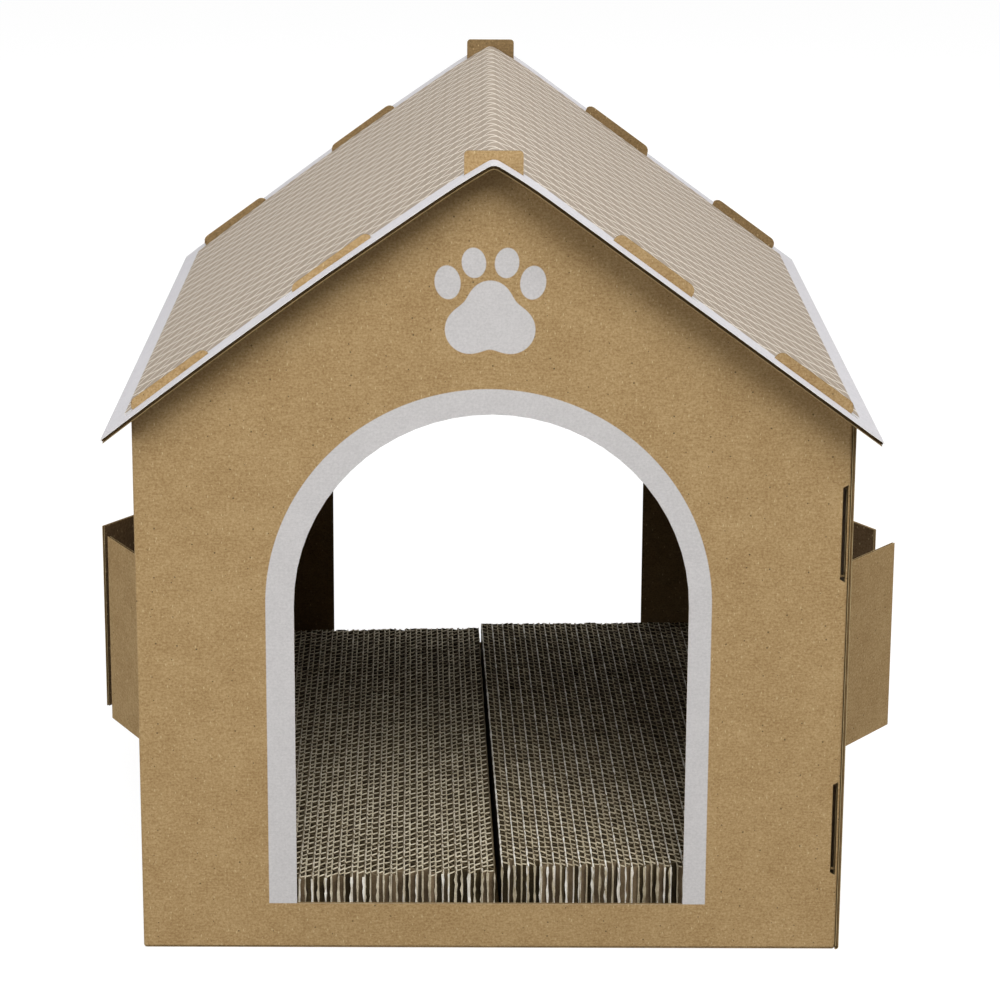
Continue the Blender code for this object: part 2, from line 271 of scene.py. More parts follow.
@dataclass(frozen=True)
class RoofPrint:
    """Print on the roof: a plain light border round a field of diamond tiles. Sizes in millimetres.

    Attributes:
        field_along: Where the field ends down the roof from its crease.
        field_half_length: How far the field reaches from its middle along the ridge.
        field_shift: How far the field's middle lies behind the sheet's.
        first_node: A crossing of the tiles' lines, down the roof and along the ridge.
    """

    border: str = "#C3C1C4"
    tile: str = "#938677"
    line: str = "#DAD1C3"
    field_along: float = 225.6
    field_half_length: float = 221.3
    field_shift: float = 2.5
    tile_along: float = 17.06
    tile_across: float = 19.6
    first_node: tuple[float, float] = (2.5, 10.4)
    line_width: float = 1.15
    line_blur: float = 0.15
    edge_blur: float = 0.2

    def cover(self, surface: Surface, place: bpy.types.Node) -> tuple[Link, Link]:
        """Adds the nodes that give the print's colour; ink covers the whole roof.

        Args:
            surface: The material being made.
            place: The place on the flat board in millimetres.

        Returns:
            How much ink covers the board, and the ink's colour.
        """
        add = surface.add
        parts = add("SeparateXYZ", {"Vector": place})
        along, across = parts.outputs[0], parts.outputs[1]
        shares = []
        for way, size, first in zip((along, across), (self.tile_along, self.tile_across), self.first_node):
            shares.append(add("Math", {0: way, 1: 1 / size, 2: -first / size}, operation="MULTIPLY_ADD"))
        spacing = 1 / math.hypot(1 / self.tile_along, 1 / self.tile_across)
        nearest = None
        for operation in ("ADD", "SUBTRACT"):
            phase = add("Math", {0: shares[0], 1: shares[1]}, operation=operation)
            gap = add("Math", {0: phase, 1: 1.0}, operation="PINGPONG")
            middle = add("Math", {0: gap, 1: 0.5}, operation="SUBTRACT")
            line = add("Math", {0: middle}, operation="ABSOLUTE")
            off_line = add("Math", {0: line, 1: -spacing, 2: spacing / 2}, operation="MULTIPLY_ADD")
            if nearest is None:
                nearest = off_line
            else:
                nearest = add("Math", {0: nearest, 1: off_line}, operation="MINIMUM")
        near, far = self.line_width / 2 - self.line_blur, self.line_width / 2 + self.line_blur
        edge = {"Value": nearest, "From Min": near, "From Max": far, "To Min": 1.0, "To Max": 0.0}
        ground = {"A": linear(self.tile), "B": linear(self.line)}
        tiles = add("Mix", {"Factor": add("MapRange", edge)} | ground, data_type="RGBA")
        from_middle = add("Math", {0: across, 1: self.field_shift}, operation="SUBTRACT")
        limits = []
        for way, end in ((along, self.field_along), (from_middle, self.field_half_length)):
            distance = add("Math", {0: way}, operation="ABSOLUTE")
            limits.append(add("Math", {0: distance, 1: end}, operation="SUBTRACT"))
        past = add("Math", {0: limits[0], 1: limits[1]}, operation="MAXIMUM")
        outside = add("MapRange", {"Value": past, "From Min": -self.edge_blur, "From Max": self.edge_blur})
        colour = add("Mix", {"Factor": outside, "A": tiles, "B": linear(self.border)}, data_type="RGBA")
        return 1.0, colour


@dataclass(frozen=True)
class Specks:
    """Specks of one colour scattered over paper, in millimetres.

    Attributes:
        colour: Their colour.
        spacing: Mean distance between them.
        size: The largest one's radius.
        edge_blur: How deep inside a speck's edge it begins to show, and how deep it shows fully.
        strength: How much of the paper it hides.
    """

    colour: str
    spacing: float
    size: float
    edge_blur: tuple[float, float] = (-0.08, 0.12)
    strength: float = 0.75

    def cover(self, surface: Surface, spot: Link, ground: Link) -> bpy.types.Node:
        """Adds the nodes that lay the specks over the paper.

        Args:
            surface: The material being made.
            spot: The place on the board in millimetres, shifted for this panel.
            ground: The paper's colour so far.

        Returns:
            The colour with the specks.
        """
        add = surface.add
        cells = add("TexVoronoi", {"Vector": spot, "Scale": 1 / self.spacing}, voronoi_dimensions="2D")
        far = add("Math", {0: cells.outputs["Distance"], 1: self.spacing}, operation="MULTIPLY")
        odds = add("SeparateColor", {"Color": cells.outputs["Color"]})
        radius = add("Math", {0: odds.outputs[0], 1: self.size}, operation="MULTIPLY")
        depth = add("Math", {0: radius, 1: far}, operation="SUBTRACT")
        low, high = self.edge_blur
        cover = add("MapRange", {"Value": depth, "From Min": low, "From Max": high, "To Max": self.strength})
        return add("Mix", {"Factor": cover, "A": ground, "B": linear(self.colour)}, data_type="RGBA")


@dataclass(frozen=True)
class KraftLiner:
    """Unbleached kraft liner of corrugated board, machine made and uncoated. Sizes in millimetres.

    Its fibres lie in clouds and show as a fine mottle with a few dark specks, it is matt all over, and the
    flutes behind it telegraph through as faint ridges. Real fibres are about 0.03 mm wide and 3 mm long; they
    are drawn wider, as coarse as the render needs to show them.

    Attributes:
        colour: The paper's mean colour.
        shade: Its darker parts, and its fine dark flecks.
        tint: Its lighter parts.
        shift: The farthest that the pattern is shifted from one panel to the next.
        cloud, mottle: Scale of the fibres' clouds and of the fine mottle.
        shares: How much the mottle, the fibres and the clouds weigh in its grain, whose mean is about 0.4.
        grain_zero: What is added to the grain.
        grain_span: The grain of its darkest and of its lightest parts.
        fleck_spacings: Mean distance between the fine dark flecks, and between the light ones.
        fleck_upright: How much shorter their pattern is up the board, which draws them out that way.
        ridge_height: Half the height of the ridges that the flutes leave.
        tooth: Height of the paper's own roughness.
        wear: How much the grain shows through ink, and the ink's least tone.
        flutes: Which way the flutes run.
    """

    name: str
    colour: str
    shade: str
    tint: str
    speck: str = "#4A3A24"
    fleck: str = "#CDB88D"
    ior: float = 1.5
    roughness: float = 0.86
    specular: float = 0.25
    shift: float = 700.0
    cloud: float = 16.0
    mottle: float = 1.2
    fibre_length: float = 3.6
    fibre_width: float = 0.55
    shares: tuple[float, float, float] = (1.1, 0.45, 0.35)
    grain_zero: float = -0.55
    grain_span: tuple[float, float] = (0.18, 0.62)
    speck_spacing: float = 10.0
    speck_size: float = 0.5
    fleck_size: float = 0.3
    fleck_spacings: tuple[float, float] = (7.0, 3.7)
    fleck_upright: float = 0.4
    flute_pitch: float = 3.3
    flutes: Run = Run.UPRIGHT
    ridge_height: float = 0.012
    tooth: float = 0.03
    ink: GablePrint | RoofPrint | None = None
    ink_roughness: float = 0.72
    wear: tuple[float, float] = (0.16, 0.92)

    def build(self) -> bpy.types.Material:
        """Makes the material.

        Returns:
            The liner's material, with its print if it has one.
        """
        surface = Surface(bpy.data.materials.new(self.name))
        add = surface.add
        blank = add("Attribute", attribute_name="blank")
        place = add("VectorMath", {0: blank.outputs["Vector"], "Scale": 1 / MM}, operation="SCALE")
        own = add("ObjectInfo")
        shift = add("Math", {0: own.outputs["Random"], 1: self.shift}, operation="MULTIPLY")
        spot = add("VectorMath", {0: place, 1: shift}, operation="ADD")
        lie = (self.fibre_length, self.fibre_width, 1.0)
        if self.flutes is Run.LEVEL:
            lie = (self.fibre_width, self.fibre_length, 1.0)
        stretched = add("VectorMath", {0: spot, 1: lie}, operation="DIVIDE")
        cloud = add("TexNoise", {"Vector": spot, "Scale": 1 / self.cloud, "Detail": 3.0, "Roughness": 0.6})
        mottle = add("TexNoise", {"Vector": spot, "Scale": 1 / self.mottle, "Detail": 2.0, "Roughness": 0.7})
        fibres = add("TexNoise", {"Vector": stretched, "Scale": 1.0, "Detail": 2.0, "Roughness": 0.6})
        grain: Link = self.grain_zero
        for part, share in zip((mottle, fibres, cloud), self.shares):
            grain = add("Math", {0: part, 1: share, 2: grain}, operation="MULTIPLY_ADD")
        low, high = self.grain_span
        tone = add("MapRange", {"Value": grain, "From Min": low, "From Max": high})
        paper = add("ValToRGB", {"Fac": tone})
        ramp = paper.color_ramp
        ramp.elements[0].color = linear(self.shade)
        ramp.elements[1].color = linear(self.tint)
        ramp.elements.new(0.5).color = linear(self.colour)
        tall = add("VectorMath", {0: spot, 1: (1.0, self.fleck_upright, 1.0)}, operation="MULTIPLY")
        bare = Specks(self.speck, self.speck_spacing, self.speck_size).cover(surface, spot, paper)
        for colour, spacing in zip((self.shade, self.fleck), self.fleck_spacings):
            bare = Specks(colour, spacing, self.fleck_size).cover(surface, tall, bare)
        parts = add("SeparateXYZ", {"Vector": place})
        pitch = {0: parts.outputs[self.flutes.value], 1: math.tau / self.flute_pitch}
        ridges = add("Math", {0: add("Math", pitch, operation="MULTIPLY")}, operation="SINE")
        height: Link = 0.0
        for part, rise in ((ridges, self.ridge_height), (mottle, self.tooth), (fibres, self.tooth)):
            height = add("Math", {0: part, 1: rise, 2: height}, operation="MULTIPLY_ADD")
        bump = add("Bump", {"Height": height, "Strength": 1.0, "Distance": MM})
        colour, roughness = bare, self.roughness
        if self.ink is not None:
            cover, pigment = self.ink.cover(surface, place)
            grip, least = self.wear
            wear = add("Math", {0: tone, 1: grip, 2: least}, operation="MULTIPLY_ADD")
            both = {"Factor": 1.0, "A": pigment, "B": wear}
            inked = add("Mix", both, data_type="RGBA", blend_type="MULTIPLY")
            colour = add("Mix", {"Factor": cover, "A": bare, "B": inked}, data_type="RGBA")
            roughness = self.ink_roughness
        look = {"Base Color": colour, "Roughness": roughness, "IOR": self.ior, "Normal": bump}
        return surface.finish(add("BsdfPrincipled", look | {"Specular IOR Level": self.specular}))


@dataclass(frozen=True)
class TestLiner:
    """Recycled liner and medium inside a board and in the scratch pads. Sizes in millimetres.

    Its short mixed fibres are darker and greyer, and show as a mottle that is drawn coarser than the real
    one, so that the render shows it. Its cut and torn edges have the same mottle in other tones.
    """

    name: str
    colour: str
    shade: str
    ior: float = 1.5
    roughness: float = 0.92
    specular: float = 0.2
    mottle: float = 1.1
    cloud: float = 9.0
    grain_span: tuple[float, float] = (0.7, 1.3)
    tooth: float = 0.05

    def build(self) -> bpy.types.Material:
        """Makes the material.

        Returns:
            The paper's material.
        """
        surface = Surface(bpy.data.materials.new(self.name))
        add = surface.add
        place = add("TexCoord")
        spot = add("VectorMath", {0: place.outputs["Object"], "Scale": 1 / MM}, operation="SCALE")
        mottle = add("TexNoise", {"Vector": spot, "Scale": 1 / self.mottle, "Detail": 3.0, "Roughness": 0.7})
        cloud = add("TexNoise", {"Vector": spot, "Scale": 1 / self.cloud, "Detail": 1.0})
        both = add("Math", {0: mottle, 1: cloud}, operation="ADD")
        low, high = self.grain_span
        tone = add("MapRange", {"Value": both, "From Min": low, "From Max": high})
        tones = {"A": linear(self.shade), "B": linear(self.colour)}
        paper = add("Mix", {"Factor": tone} | tones, data_type="RGBA")
        bump = add("Bump", {"Height": mottle, "Strength": 1.0, "Distance": self.tooth * MM})
        look = {"Base Color": paper, "Roughness": self.roughness, "IOR": self.ior, "Normal": bump}
        return surface.finish(add("BsdfPrincipled", look | {"Specular IOR Level": self.specular}))


def sides(loop: list[Item]) -> list[tuple[Item, Item]]:
    """The pairs of neighbours round a closed loop."""
    return list(zip(loop, loop[1:] + loop[:1]))


@dataclass
class Cells:
    """An outline cut into cells: its points and the faces between them."""

    points: list[Point2]
    faces: list[list[int]]

    def rim(self) -> list[tuple[int, int]]:
        """The edges that only one face has, each in that face's order."""
        used = dict.fromkeys(edge for face in self.faces for edge in sides(face))
        return [edge for edge in used if (edge[1], edge[0]) not in used]


def crossing(edge: tuple[Point2, Point2], axis: int, place: float) -> float:
    """Where an edge crosses a line.

    Args:
        edge: The edge's ends.
        axis: The coordinate that the line holds fixed.
        place: The line's value of that coordinate.

    Returns:
        The other coordinate there.
    """
    start, end = edge
    share = (place - start[axis]) / (end[axis] - start[axis])
    return start[1 - axis] + share * (end[1 - axis] - start[1 - axis])


def slice_outline(
    loops: list[Loop], run: Run, stations: Iterable[float], rows: Iterable[float] = ()
) -> Cells:
    """Cuts a flat outline with holes into narrow cells.

    Args:
        loops: The outline and its holes.
        run: Which way the cuts run; UPRIGHT cuts stand at fixed first coordinates.
        stations: Where the cuts are.
        rows: Cuts the other way, made where they cross a whole cell.

    Returns:
        The cells. Neighbours share their points, so the mesh has no cracks.
    """
    axis = run.value
    edges = [edge for loop in loops for edge in sides(loop) if abs(edge[0][axis] - edge[1][axis]) > HAIR]
    corners = sorted({round(point[axis], 7) for loop in loops for point in loop})
    columns = [corners[0]]
    for value in corners[1:]:
        if value - columns[-1] > HAIR:
            columns.append(value)
    low, high = columns[0], columns[-1]
    wanted = [s for s in stations if low < s < high and min(abs(s - c) for c in columns) > 2 * TINY]
    columns = sorted(columns + wanted)
    heights: list[set[int]] = [set() for _ in columns]
    strips: list[tuple[int, list[list[tuple[int, int]]]]] = []
    for i, (start, end) in enumerate(zip(columns, columns[1:])):
        spanning = []
        for edge in edges:
            near, far = sorted((edge[0][axis], edge[1][axis]))
            if near <= start + HAIR and far >= end - HAIR:
                spanning.append((crossing(edge, axis, start), crossing(edge, axis, end)))
        spanning.sort(key=sum)
        stacks = []
        for lower, upper in zip(spanning[::2], spanning[1::2]):
            inner = [row for row in rows if max(lower) + TINY < row < min(upper) - TINY]
            levels = [lower, *((row, row) for row in inner), upper]
            stack = [(round(a / GRID), round(b / GRID)) for a, b in levels]
            for a, b in stack:
                heights[i].add(a)
                heights[i + 1].add(b)
            stacks.append(stack)
        strips.append((i, stacks))
    points: list[Point2] = []
    numbers: list[dict[int, int]] = []
    for column, found in zip(columns, heights):
        numbers.append({})
        for key in sorted(found):
            numbers[-1][key] = len(points)
            points.append((column, key * GRID) if axis == 0 else (key * GRID, column))
    faces = []
    for i, stacks in strips:
        left, right = sorted(numbers[i]), sorted(numbers[i + 1])
        for stack in stacks:
            for (a0, b0), (a1, b1) in zip(stack, stack[1:]):
                up = [numbers[i + 1][key] for key in right if b0 <= key <= b1]
                down = [numbers[i][key] for key in reversed(left) if a0 <= key <= a1]
                face = up + down
                if len(set(face)) > 2:
                    faces.append(face if axis == 0 else face[::-1])
    return Cells(points, faces)


@dataclass
class MeshWork:
    """Points, faces and finishes collected for one piece."""

    points: list[Vector] = field(default_factory=list)
    blanks: list[tuple[float, float, float]] = field(default_factory=list)
    faces: list[list[int]] = field(default_factory=list)
    slots: list[int] = field(default_factory=list)

    def add_shell(
        self,
        cells: Cells,
        near: Depth | float,
        thickness: float,
        place: Mapping,
        slot: Layer,
        rim: Layer = Layer.CUT,
    ) -> None:
        """Adds a closed thin solid over flat cells.

        Args:
            cells: The flat cells that it covers.
            near: Depth of its outer face, or what gives that depth at a flat place.
            thickness: How thick it is.
            place: Puts a flat place and a depth in space.
            slot: Which material it gets.
            rim: Which material its cut edges get.
        """
        first = len(self.points)
        count = len(cells.points)
        for sunk in (0.0, thickness):
            for u, v in cells.points:
                deep = (near(u, v) if callable(near) else near) + sunk
                self.points.append(place(u, v, deep))
                self.blanks.append((u, v, deep))
        for face in cells.faces:
            self.faces.append([first + i for i in face])
            self.faces.append([first + count + i for i in reversed(face)])
        self.slots += [slot.value] * (2 * len(cells.faces))
        for start, end in cells.rim():
            self.faces.append([first + end, first + start, first + count + start, first + count + end])
            self.slots.append(rim.value)

    def add_strip(
        self,
        edges: Sequence[tuple[Vector, Vector]],
        run: Vector,
        levels: tuple[float, float],
        across: int,
        thickness: float,
    ) -> None:
        """Adds a flat strip of outer liner between two edges that run side by side.

        Args:
            edges: For each edge its place at level 0 and the way into the board.
            run: The direction in which the edges run.
            levels: Where the strip begins and ends along them.
            across: The coordinate that counts across the strip on the flat board.
            thickness: How thick it is.
        """
        first = len(self.points)
        for level in levels:
            for edge, inward in edges:
                for depth in (0.0, thickness):
                    self.points.append(edge + run * level + inward * depth)
                    self.blanks.append((edge[across], level, depth))
        box = ((0, 1, 3, 2), (4, 6, 7, 5), (0, 2, 6, 4), (1, 5, 7, 3), (0, 4, 5, 1), (2, 3, 7, 6))
        self.faces += [[first + i for i in face] for face in box]
        self.slots += [Layer.OUTER.value] * len(box)

    def make(
        self, name: str, materials: Sequence[bpy.types.Material], sharp: float = 35.0
    ) -> bpy.types.Object:
        """Makes the piece's object.

        Args:
            name: The piece's name.
            materials: Its materials, in the order of the slots.
            sharp: Faces that meet at a larger angle keep a sharp edge, in degrees.

        Returns:
            The object, linked to the scene.
        """
        mesh = bpy.data.meshes.new(name)
        mesh.from_pydata(self.points, [], self.faces)
        mesh.polygons.foreach_set("material_index", self.slots)
        blank = mesh.attributes.new("blank", "FLOAT_VECTOR", "POINT")
        blank.data.foreach_set("vector", [value for point in self.blanks for value in point])
        for material in materials:
            mesh.materials.append(material)
        shape = bmesh.new()
        shape.from_mesh(mesh)
        bmesh.ops.recalc_face_normals(shape, faces=shape.faces)
        shape.to_mesh(mesh)
        shape.free()
        mesh.shade_smooth()
        mesh.set_sharp_from_angle(angle=math.radians(sharp))
        piece = bpy.data.objects.new(name, mesh)
        bpy.context.scene.collection.objects.link(piece)
        return piece


@dataclass(frozen=True)
class Board:
    """E-flute board: how thick its layers are and how its medium waves.

    Attributes:
        thickness: The whole board's thickness.
        liner: Each liner's thickness.
        medium: The medium's thickness.
        pitch: Distance between flutes.
        turn: Where in its wave the medium is at the panel's middle, as a share of the pitch.
        steps: Samples in a wave.
    """

    thickness: float = 1.6 * MM
    liner: float = 0.26 * MM
    medium: float = 0.18 * MM
    pitch: float = 3.3 * MM
    turn: float = 0.0
    steps: int = 8

    @property
    def swing(self) -> float:
        """Half the height of the medium's wave, so that its tips touch the liners."""
        return (self.thickness - 2 * self.liner - self.medium) / 2

    def stations(self, low: float, high: float) -> list[float]:
        """The places between these two at which the medium is sampled."""
        step = self.pitch / self.steps
        return [i * step for i in range(math.ceil(low / step), math.floor(high / step) + 1)]

    def wave(self, place: float) -> float:
        """Depth of the medium's outer face at this place across the flutes."""
        turns = place / self.pitch + self.turn
        return (self.thickness - self.medium) / 2 + self.swing * math.sin(math.tau * turns)


@dataclass(frozen=True)
class Plane:
    """Where a flat panel's outer face is: its two directions, its way out and its distance along that way."""

    across: Vector
    up: Vector
    outward: Vector
    face: float

    def point(self, u: float, v: float, depth: float) -> Vector:
        """A place on the panel, at a depth below its outer face."""
        return self.across * u + self.up * v + self.outward * (self.face - depth)


def chain(edges: list[tuple[Point2, Point2]]) -> list[Loop]:
    """Joins loose edges to closed loops, without the points that lie on a straight run.

    Args:
        edges: The edges, in any order, each with its direction.

    Returns:
        The loops.
    """
    onward = dict(edges)
    loops = []
    while onward:
        start, here = next(iter(onward.items()))
        del onward[start]
        loop = [start]
        while here != start:
            loop.append(here)
            here = onward.pop(here)
        kept = []
        for before, point, after in zip(loop[-1:] + loop[:-1], loop, loop[1:] + loop[:1]):
            first = Vector((point[0] - before[0], point[1] - before[1])).normalized()
            second = Vector((after[0] - point[0], after[1] - point[1])).normalized()
            if first.dot(second) < STRAIGHT:
                kept.append(point)
        loops.append(kept)
    return loops


def rim_of(triangles: list[list[Point2]]) -> list[Loop]:
    """The outline of flat triangles that lie side by side.

    Args:
        triangles: Their corners.

    Returns:
        The loops round them.
    """
    rounded = [[(round(u, 6), round(v, 6)) for u, v in triangle] for triangle in triangles]
    edges = [edge for corners in rounded for edge in sides(corners) if edge[0] != edge[1]]
    present = set(edges)
    return chain([edge for edge in edges if (edge[1], edge[0]) not in present])


def read_panel(node: str, outward: Vector, up: Vector) -> tuple[Plane, list[Loop]]:
    """Reads a flat panel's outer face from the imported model.

    Args:
        node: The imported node.
        outward: Roughly which way the outer face looks.
        up: The panel's upright direction.

    Returns:
        Where the face is, and its outline with holes.
    """
    mesh = frame["nodes"][node].data
    areas: dict[tuple[float, ...], float] = {}
    for polygon in mesh.polygons:
        key = tuple(round(value, 3) for value in polygon.normal)
        if Vector(key).dot(outward) > 0.5:
            areas[key] = areas.get(key, 0.0) + polygon.area
    best = Vector(max(areas, key=lambda key: areas[key])).normalized()
    facing = [polygon for polygon in mesh.polygons if polygon.normal.dot(best) > FLAT]
    normal = sum((polygon.normal * polygon.area for polygon in facing), Vector()).normalized()
    face = max(polygon.center.dot(normal) for polygon in facing)
    across = up.cross(normal).normalized()
    triangles = [
        [(mesh.vertices[i].co.dot(across), mesh.vertices[i].co.dot(up)) for i in polygon.vertices]
        for polygon in facing
        if abs(polygon.center.dot(normal) - face) < TINY
    ]
    return Plane(across, up, normal, face), rim_of(triangles)


@dataclass(frozen=True)
class Fold:
    """A crease at a panel's edge, where the outer liner carries on round a right angle to the next panel.

    Attributes:
        side: The edge of the panel.
        radius: The outer liner's radius round the fold.
        lap: How far the liner goes on past the fold.
        shortest: The least length of straight edge that counts as the panel's edge.
    """

    side: Side
    radius: float
    lap: float = 0.0
    shortest: float = 20.0 * MM

    @property
    def axis(self) -> int:
        """The coordinate that the fold bends."""
        return 1 if self.side is Side.FOOT else 0

    @property
    def way(self) -> int:
        """The direction in which the fold goes off the panel."""
        return 1 if self.side is Side.RIGHT else -1

    def edge(self, loops: list[Loop]) -> float:
        """Finds the panel's edge: the outermost long straight one on this side.

        Args:
            loops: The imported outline.

        Returns:
            Where it is, on the coordinate that the fold bends.
        """
        lengths: dict[float, float] = {}
        for loop in loops:
            for start, end in sides(loop):
                if abs(start[self.axis] - end[self.axis]) < TINY:
                    place = round(start[self.axis], 6)
                    lengths[place] = lengths.get(place, 0.0) + math.dist(start, end)
        long = [place for place in lengths if lengths[place] > self.shortest]
        return max(long, key=lambda place: self.way * place)

    def start(self, loops: list[Loop]) -> float:
        """Where the fold begins on the panel."""
        return self.edge(loops) - self.way * self.radius

    def end(self, loops: list[Loop]) -> float:
        """Where the liner ends past the fold, measured on the flat sheet."""
        return self.start(loops) + self.way * (self.radius * math.pi / 2 + self.lap)


@dataclass
class Panel:
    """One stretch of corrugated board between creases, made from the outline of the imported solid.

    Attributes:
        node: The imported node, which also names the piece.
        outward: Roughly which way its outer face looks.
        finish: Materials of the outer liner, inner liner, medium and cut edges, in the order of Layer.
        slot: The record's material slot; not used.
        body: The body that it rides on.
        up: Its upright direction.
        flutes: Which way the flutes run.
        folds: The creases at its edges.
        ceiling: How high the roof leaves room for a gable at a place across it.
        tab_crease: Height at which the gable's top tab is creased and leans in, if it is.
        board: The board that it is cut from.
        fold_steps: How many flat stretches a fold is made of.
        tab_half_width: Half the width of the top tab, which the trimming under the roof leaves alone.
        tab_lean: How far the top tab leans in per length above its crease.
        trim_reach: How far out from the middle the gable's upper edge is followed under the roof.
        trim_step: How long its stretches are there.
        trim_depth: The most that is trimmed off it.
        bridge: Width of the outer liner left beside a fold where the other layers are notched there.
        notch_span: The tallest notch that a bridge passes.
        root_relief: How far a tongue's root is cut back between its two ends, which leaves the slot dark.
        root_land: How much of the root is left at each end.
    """

    node: str
    outward: Vector
    finish: Sequence[bpy.types.Material]
    slot: str
    body: str = "house"
    up: Vector = field(default_factory=lambda: Vector((0.0, 0.0, 1.0)))
    flutes: Run = Run.UPRIGHT
    folds: tuple[Fold, ...] = ()
    ceiling: Callable[[float], float] | None = None
    tab_crease: float | None = None
    board: Board = Board()
    fold_steps: int = 6
    tab_half_width: float = 14.5 * MM
    tab_lean: float = 0.075
    trim_reach: float = 65.25 * MM
    trim_step: float = 4.0 * MM
    trim_depth: float = 2.0 * MM
    bridge: float = 0.0
    notch_span: float = 80.0 * MM
    root_relief: float = 0.0
    root_land: float = 0.9 * MM

    def mesh(self) -> MeshWork:
        """Builds the board's three layers.

        Returns:
            The collected mesh.
        """
        plane, packed = read_panel(self.node, self.outward, self.up)
        loops = [self._relieved(self._under_roof(loop)) for loop in packed]
        board = self.board
        work = MeshWork()
        wrapped = self._outline(loops, carried=True)
        inside = self._outline(loops, carried=False)
        cuts: tuple[list[float], list[float]] = ([], [])
        for fold in self.folds:
            start, end = fold.start(loops), fold.end(loops)
            span = end - start - fold.way * fold.lap
            cuts[fold.axis].extend(start + span * i / self.fold_steps for i in range(self.fold_steps + 1))
        if self.tab_crease is not None:
            cuts[1].append(self.tab_crease)
        flat = self._leaning(plane.point)
        turn = self._leaning(self._turner(plane, loops))
        skins = [slice_outline(wrapped, Run.UPRIGHT, *cuts)]
        skins += [slice_outline([strip], Run.UPRIGHT, cuts[0]) for strip in self._bridges(loops)]
        for skin in skins:
            work.add_shell(skin, 0.0, board.liner, turn, Layer.OUTER, Layer.FACE_CUT)
        back = slice_outline(inside, Run.UPRIGHT, (), cuts[1])
        work.add_shell(back, board.thickness - board.liner, board.liner, flat, Layer.INNER)
        axis = self.flutes.value
        places = [point[axis] for loop in inside for point in loop]
        creases = cuts[1] if self.flutes is Run.UPRIGHT else ()
        waves = slice_outline(inside, self.flutes, board.stations(min(places), max(places)), creases)
        layers = (Layer.MEDIUM, Layer.MEDIUM)
        work.add_shell(waves, lambda u, v: board.wave((u, v)[axis]), board.medium, flat, *layers)
        return work

    def _under_roof(self, loop: Loop) -> Loop:
        """A loop whose upper edge keeps clear of the roof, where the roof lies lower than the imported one.

        Args:
            loop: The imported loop.

        Returns:
            The loop with its upper edge trimmed beside the top tab.
        """
        if self.ceiling is None:
            return loop
        fresh: Loop = []
        for start, end in sides(loop):
            high = min(start[1], end[1]) > self.ceiling(self.trim_reach)
            count = 1 + int(high) * int(math.dist(start, end) / self.trim_step)
            for i in range(count):
                u = start[0] + (end[0] - start[0]) * i / count
                v = start[1] + (end[1] - start[1]) * i / count
                limit = self.ceiling(u)
                if abs(u) > self.tab_half_width - TINY and limit < v < limit + self.trim_depth:
                    v = limit
                fresh.append((u, v))
        return fresh

    def _relieved(self, loop: Loop) -> Loop:
        """A tongue's loop with its root cut back between its two ends.

        Args:
            loop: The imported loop.

        Returns:
            The loop, changed only where the panel has a root to cut back.
        """
        if not self.root_relief:
            return loop
        edge = min(u for u, _ in loop)
        low, high = (pick(v for u, v in loop if u < edge + TINY) for pick in (min, max))
        inner = edge + self.root_relief
        cut = [(edge, high - self.root_land), (inner, high - self.root_land)]
        cut += [(inner, low + self.root_land), (edge, low + self.root_land)]
        fresh: Loop = []
        for start, end in sides(loop):
            fresh.append(start)
            if max(start[0], end[0]) < edge + TINY:
                fresh += cut if start[1] > end[1] else cut[::-1]
        return fresh

    def _bridges(self, loops: list[Loop]) -> list[Loop]:
        """Strips of outer liner that run on beside the right fold, past the notches in the other layers.

        Args:
            loops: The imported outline.

        Returns:
            The strips' outlines.
        """
        folds = [fold for fold in self.folds if fold.side is Side.RIGHT]
        if not self.bridge or not folds:
            return []
        edge, far = folds[0].edge(loops), folds[0].end(loops)
        near = edge - self.bridge
        strips: list[Loop] = []
        loop = max(loops, key=lambda outline: max(u for u, _ in outline))
        for i, (u, v) in enumerate(loop):
            mouth = loop[(i + 3) % len(loop)]
            inner = [loop[(i + step) % len(loop)][0] for step in (1, 2)]
            notched = min(u, mouth[0]) > edge - TINY and max(inner) < near - MM
            if notched and abs(v - mouth[1]) < self.notch_span:
                low, high = sorted((v, mouth[1]))
                strips.append([(near, low), (far, low), (far, high), (near, high)])
        return strips

    def _leaning(self, place: Mapping) -> Mapping:
        """The mapping with the creased top tab leaning in.

        Args:
            place: Puts a flat place and a depth in space.

        Returns:
            The same, with more depth above the tab's crease.
        """
        crease = self.tab_crease
        if crease is None:
            return place
        return lambda u, v, depth: place(u, v, depth + self.tab_lean * max(v - crease, 0.0))

    def _outline(self, loops: list[Loop], carried: bool) -> list[Loop]:
        """The outline with its folded edges carried round, or stopped before the folds.

        Args:
            loops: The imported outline.
            carried: Whether the layer goes round the folds.

        Returns:
            The outline of the layer on the flat sheet.
        """
        changed = []
        for loop in loops:
            fresh: Loop = []
            for point in loop:
                on_edge = [fold for fold in self.folds if abs(point[fold.axis] - fold.edge(loops)) < TINY]
                reach = {f.axis: f.end(loops) if carried else f.start(loops) for f in on_edge}
                moved = (reach.get(0, point[0]), reach.get(1, point[1]))
                if carried and len(on_edge) == 2:
                    stop = {f.axis: f.start(loops) for f in on_edge}
                    pair = [(moved[0], stop[1]), (stop[0], moved[1])]
                    before = fresh[-1] if fresh else loop[-1]
                    pair.sort(key=lambda p: math.dist(p, before))
                    fresh += pair
                else:
                    fresh.append(moved)
            changed.append(fresh)
        return changed

    def _turner(self, plane: Plane, loops: list[Loop]) -> Mapping:
        """The mapping that bends the outer liner round the folds.

        Args:
            plane: The panel's plane.
            loops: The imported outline.

        Returns:
            A function from a flat place and a depth to a point.
        """
        starts = [(fold, fold.start(loops)) for fold in self.folds]

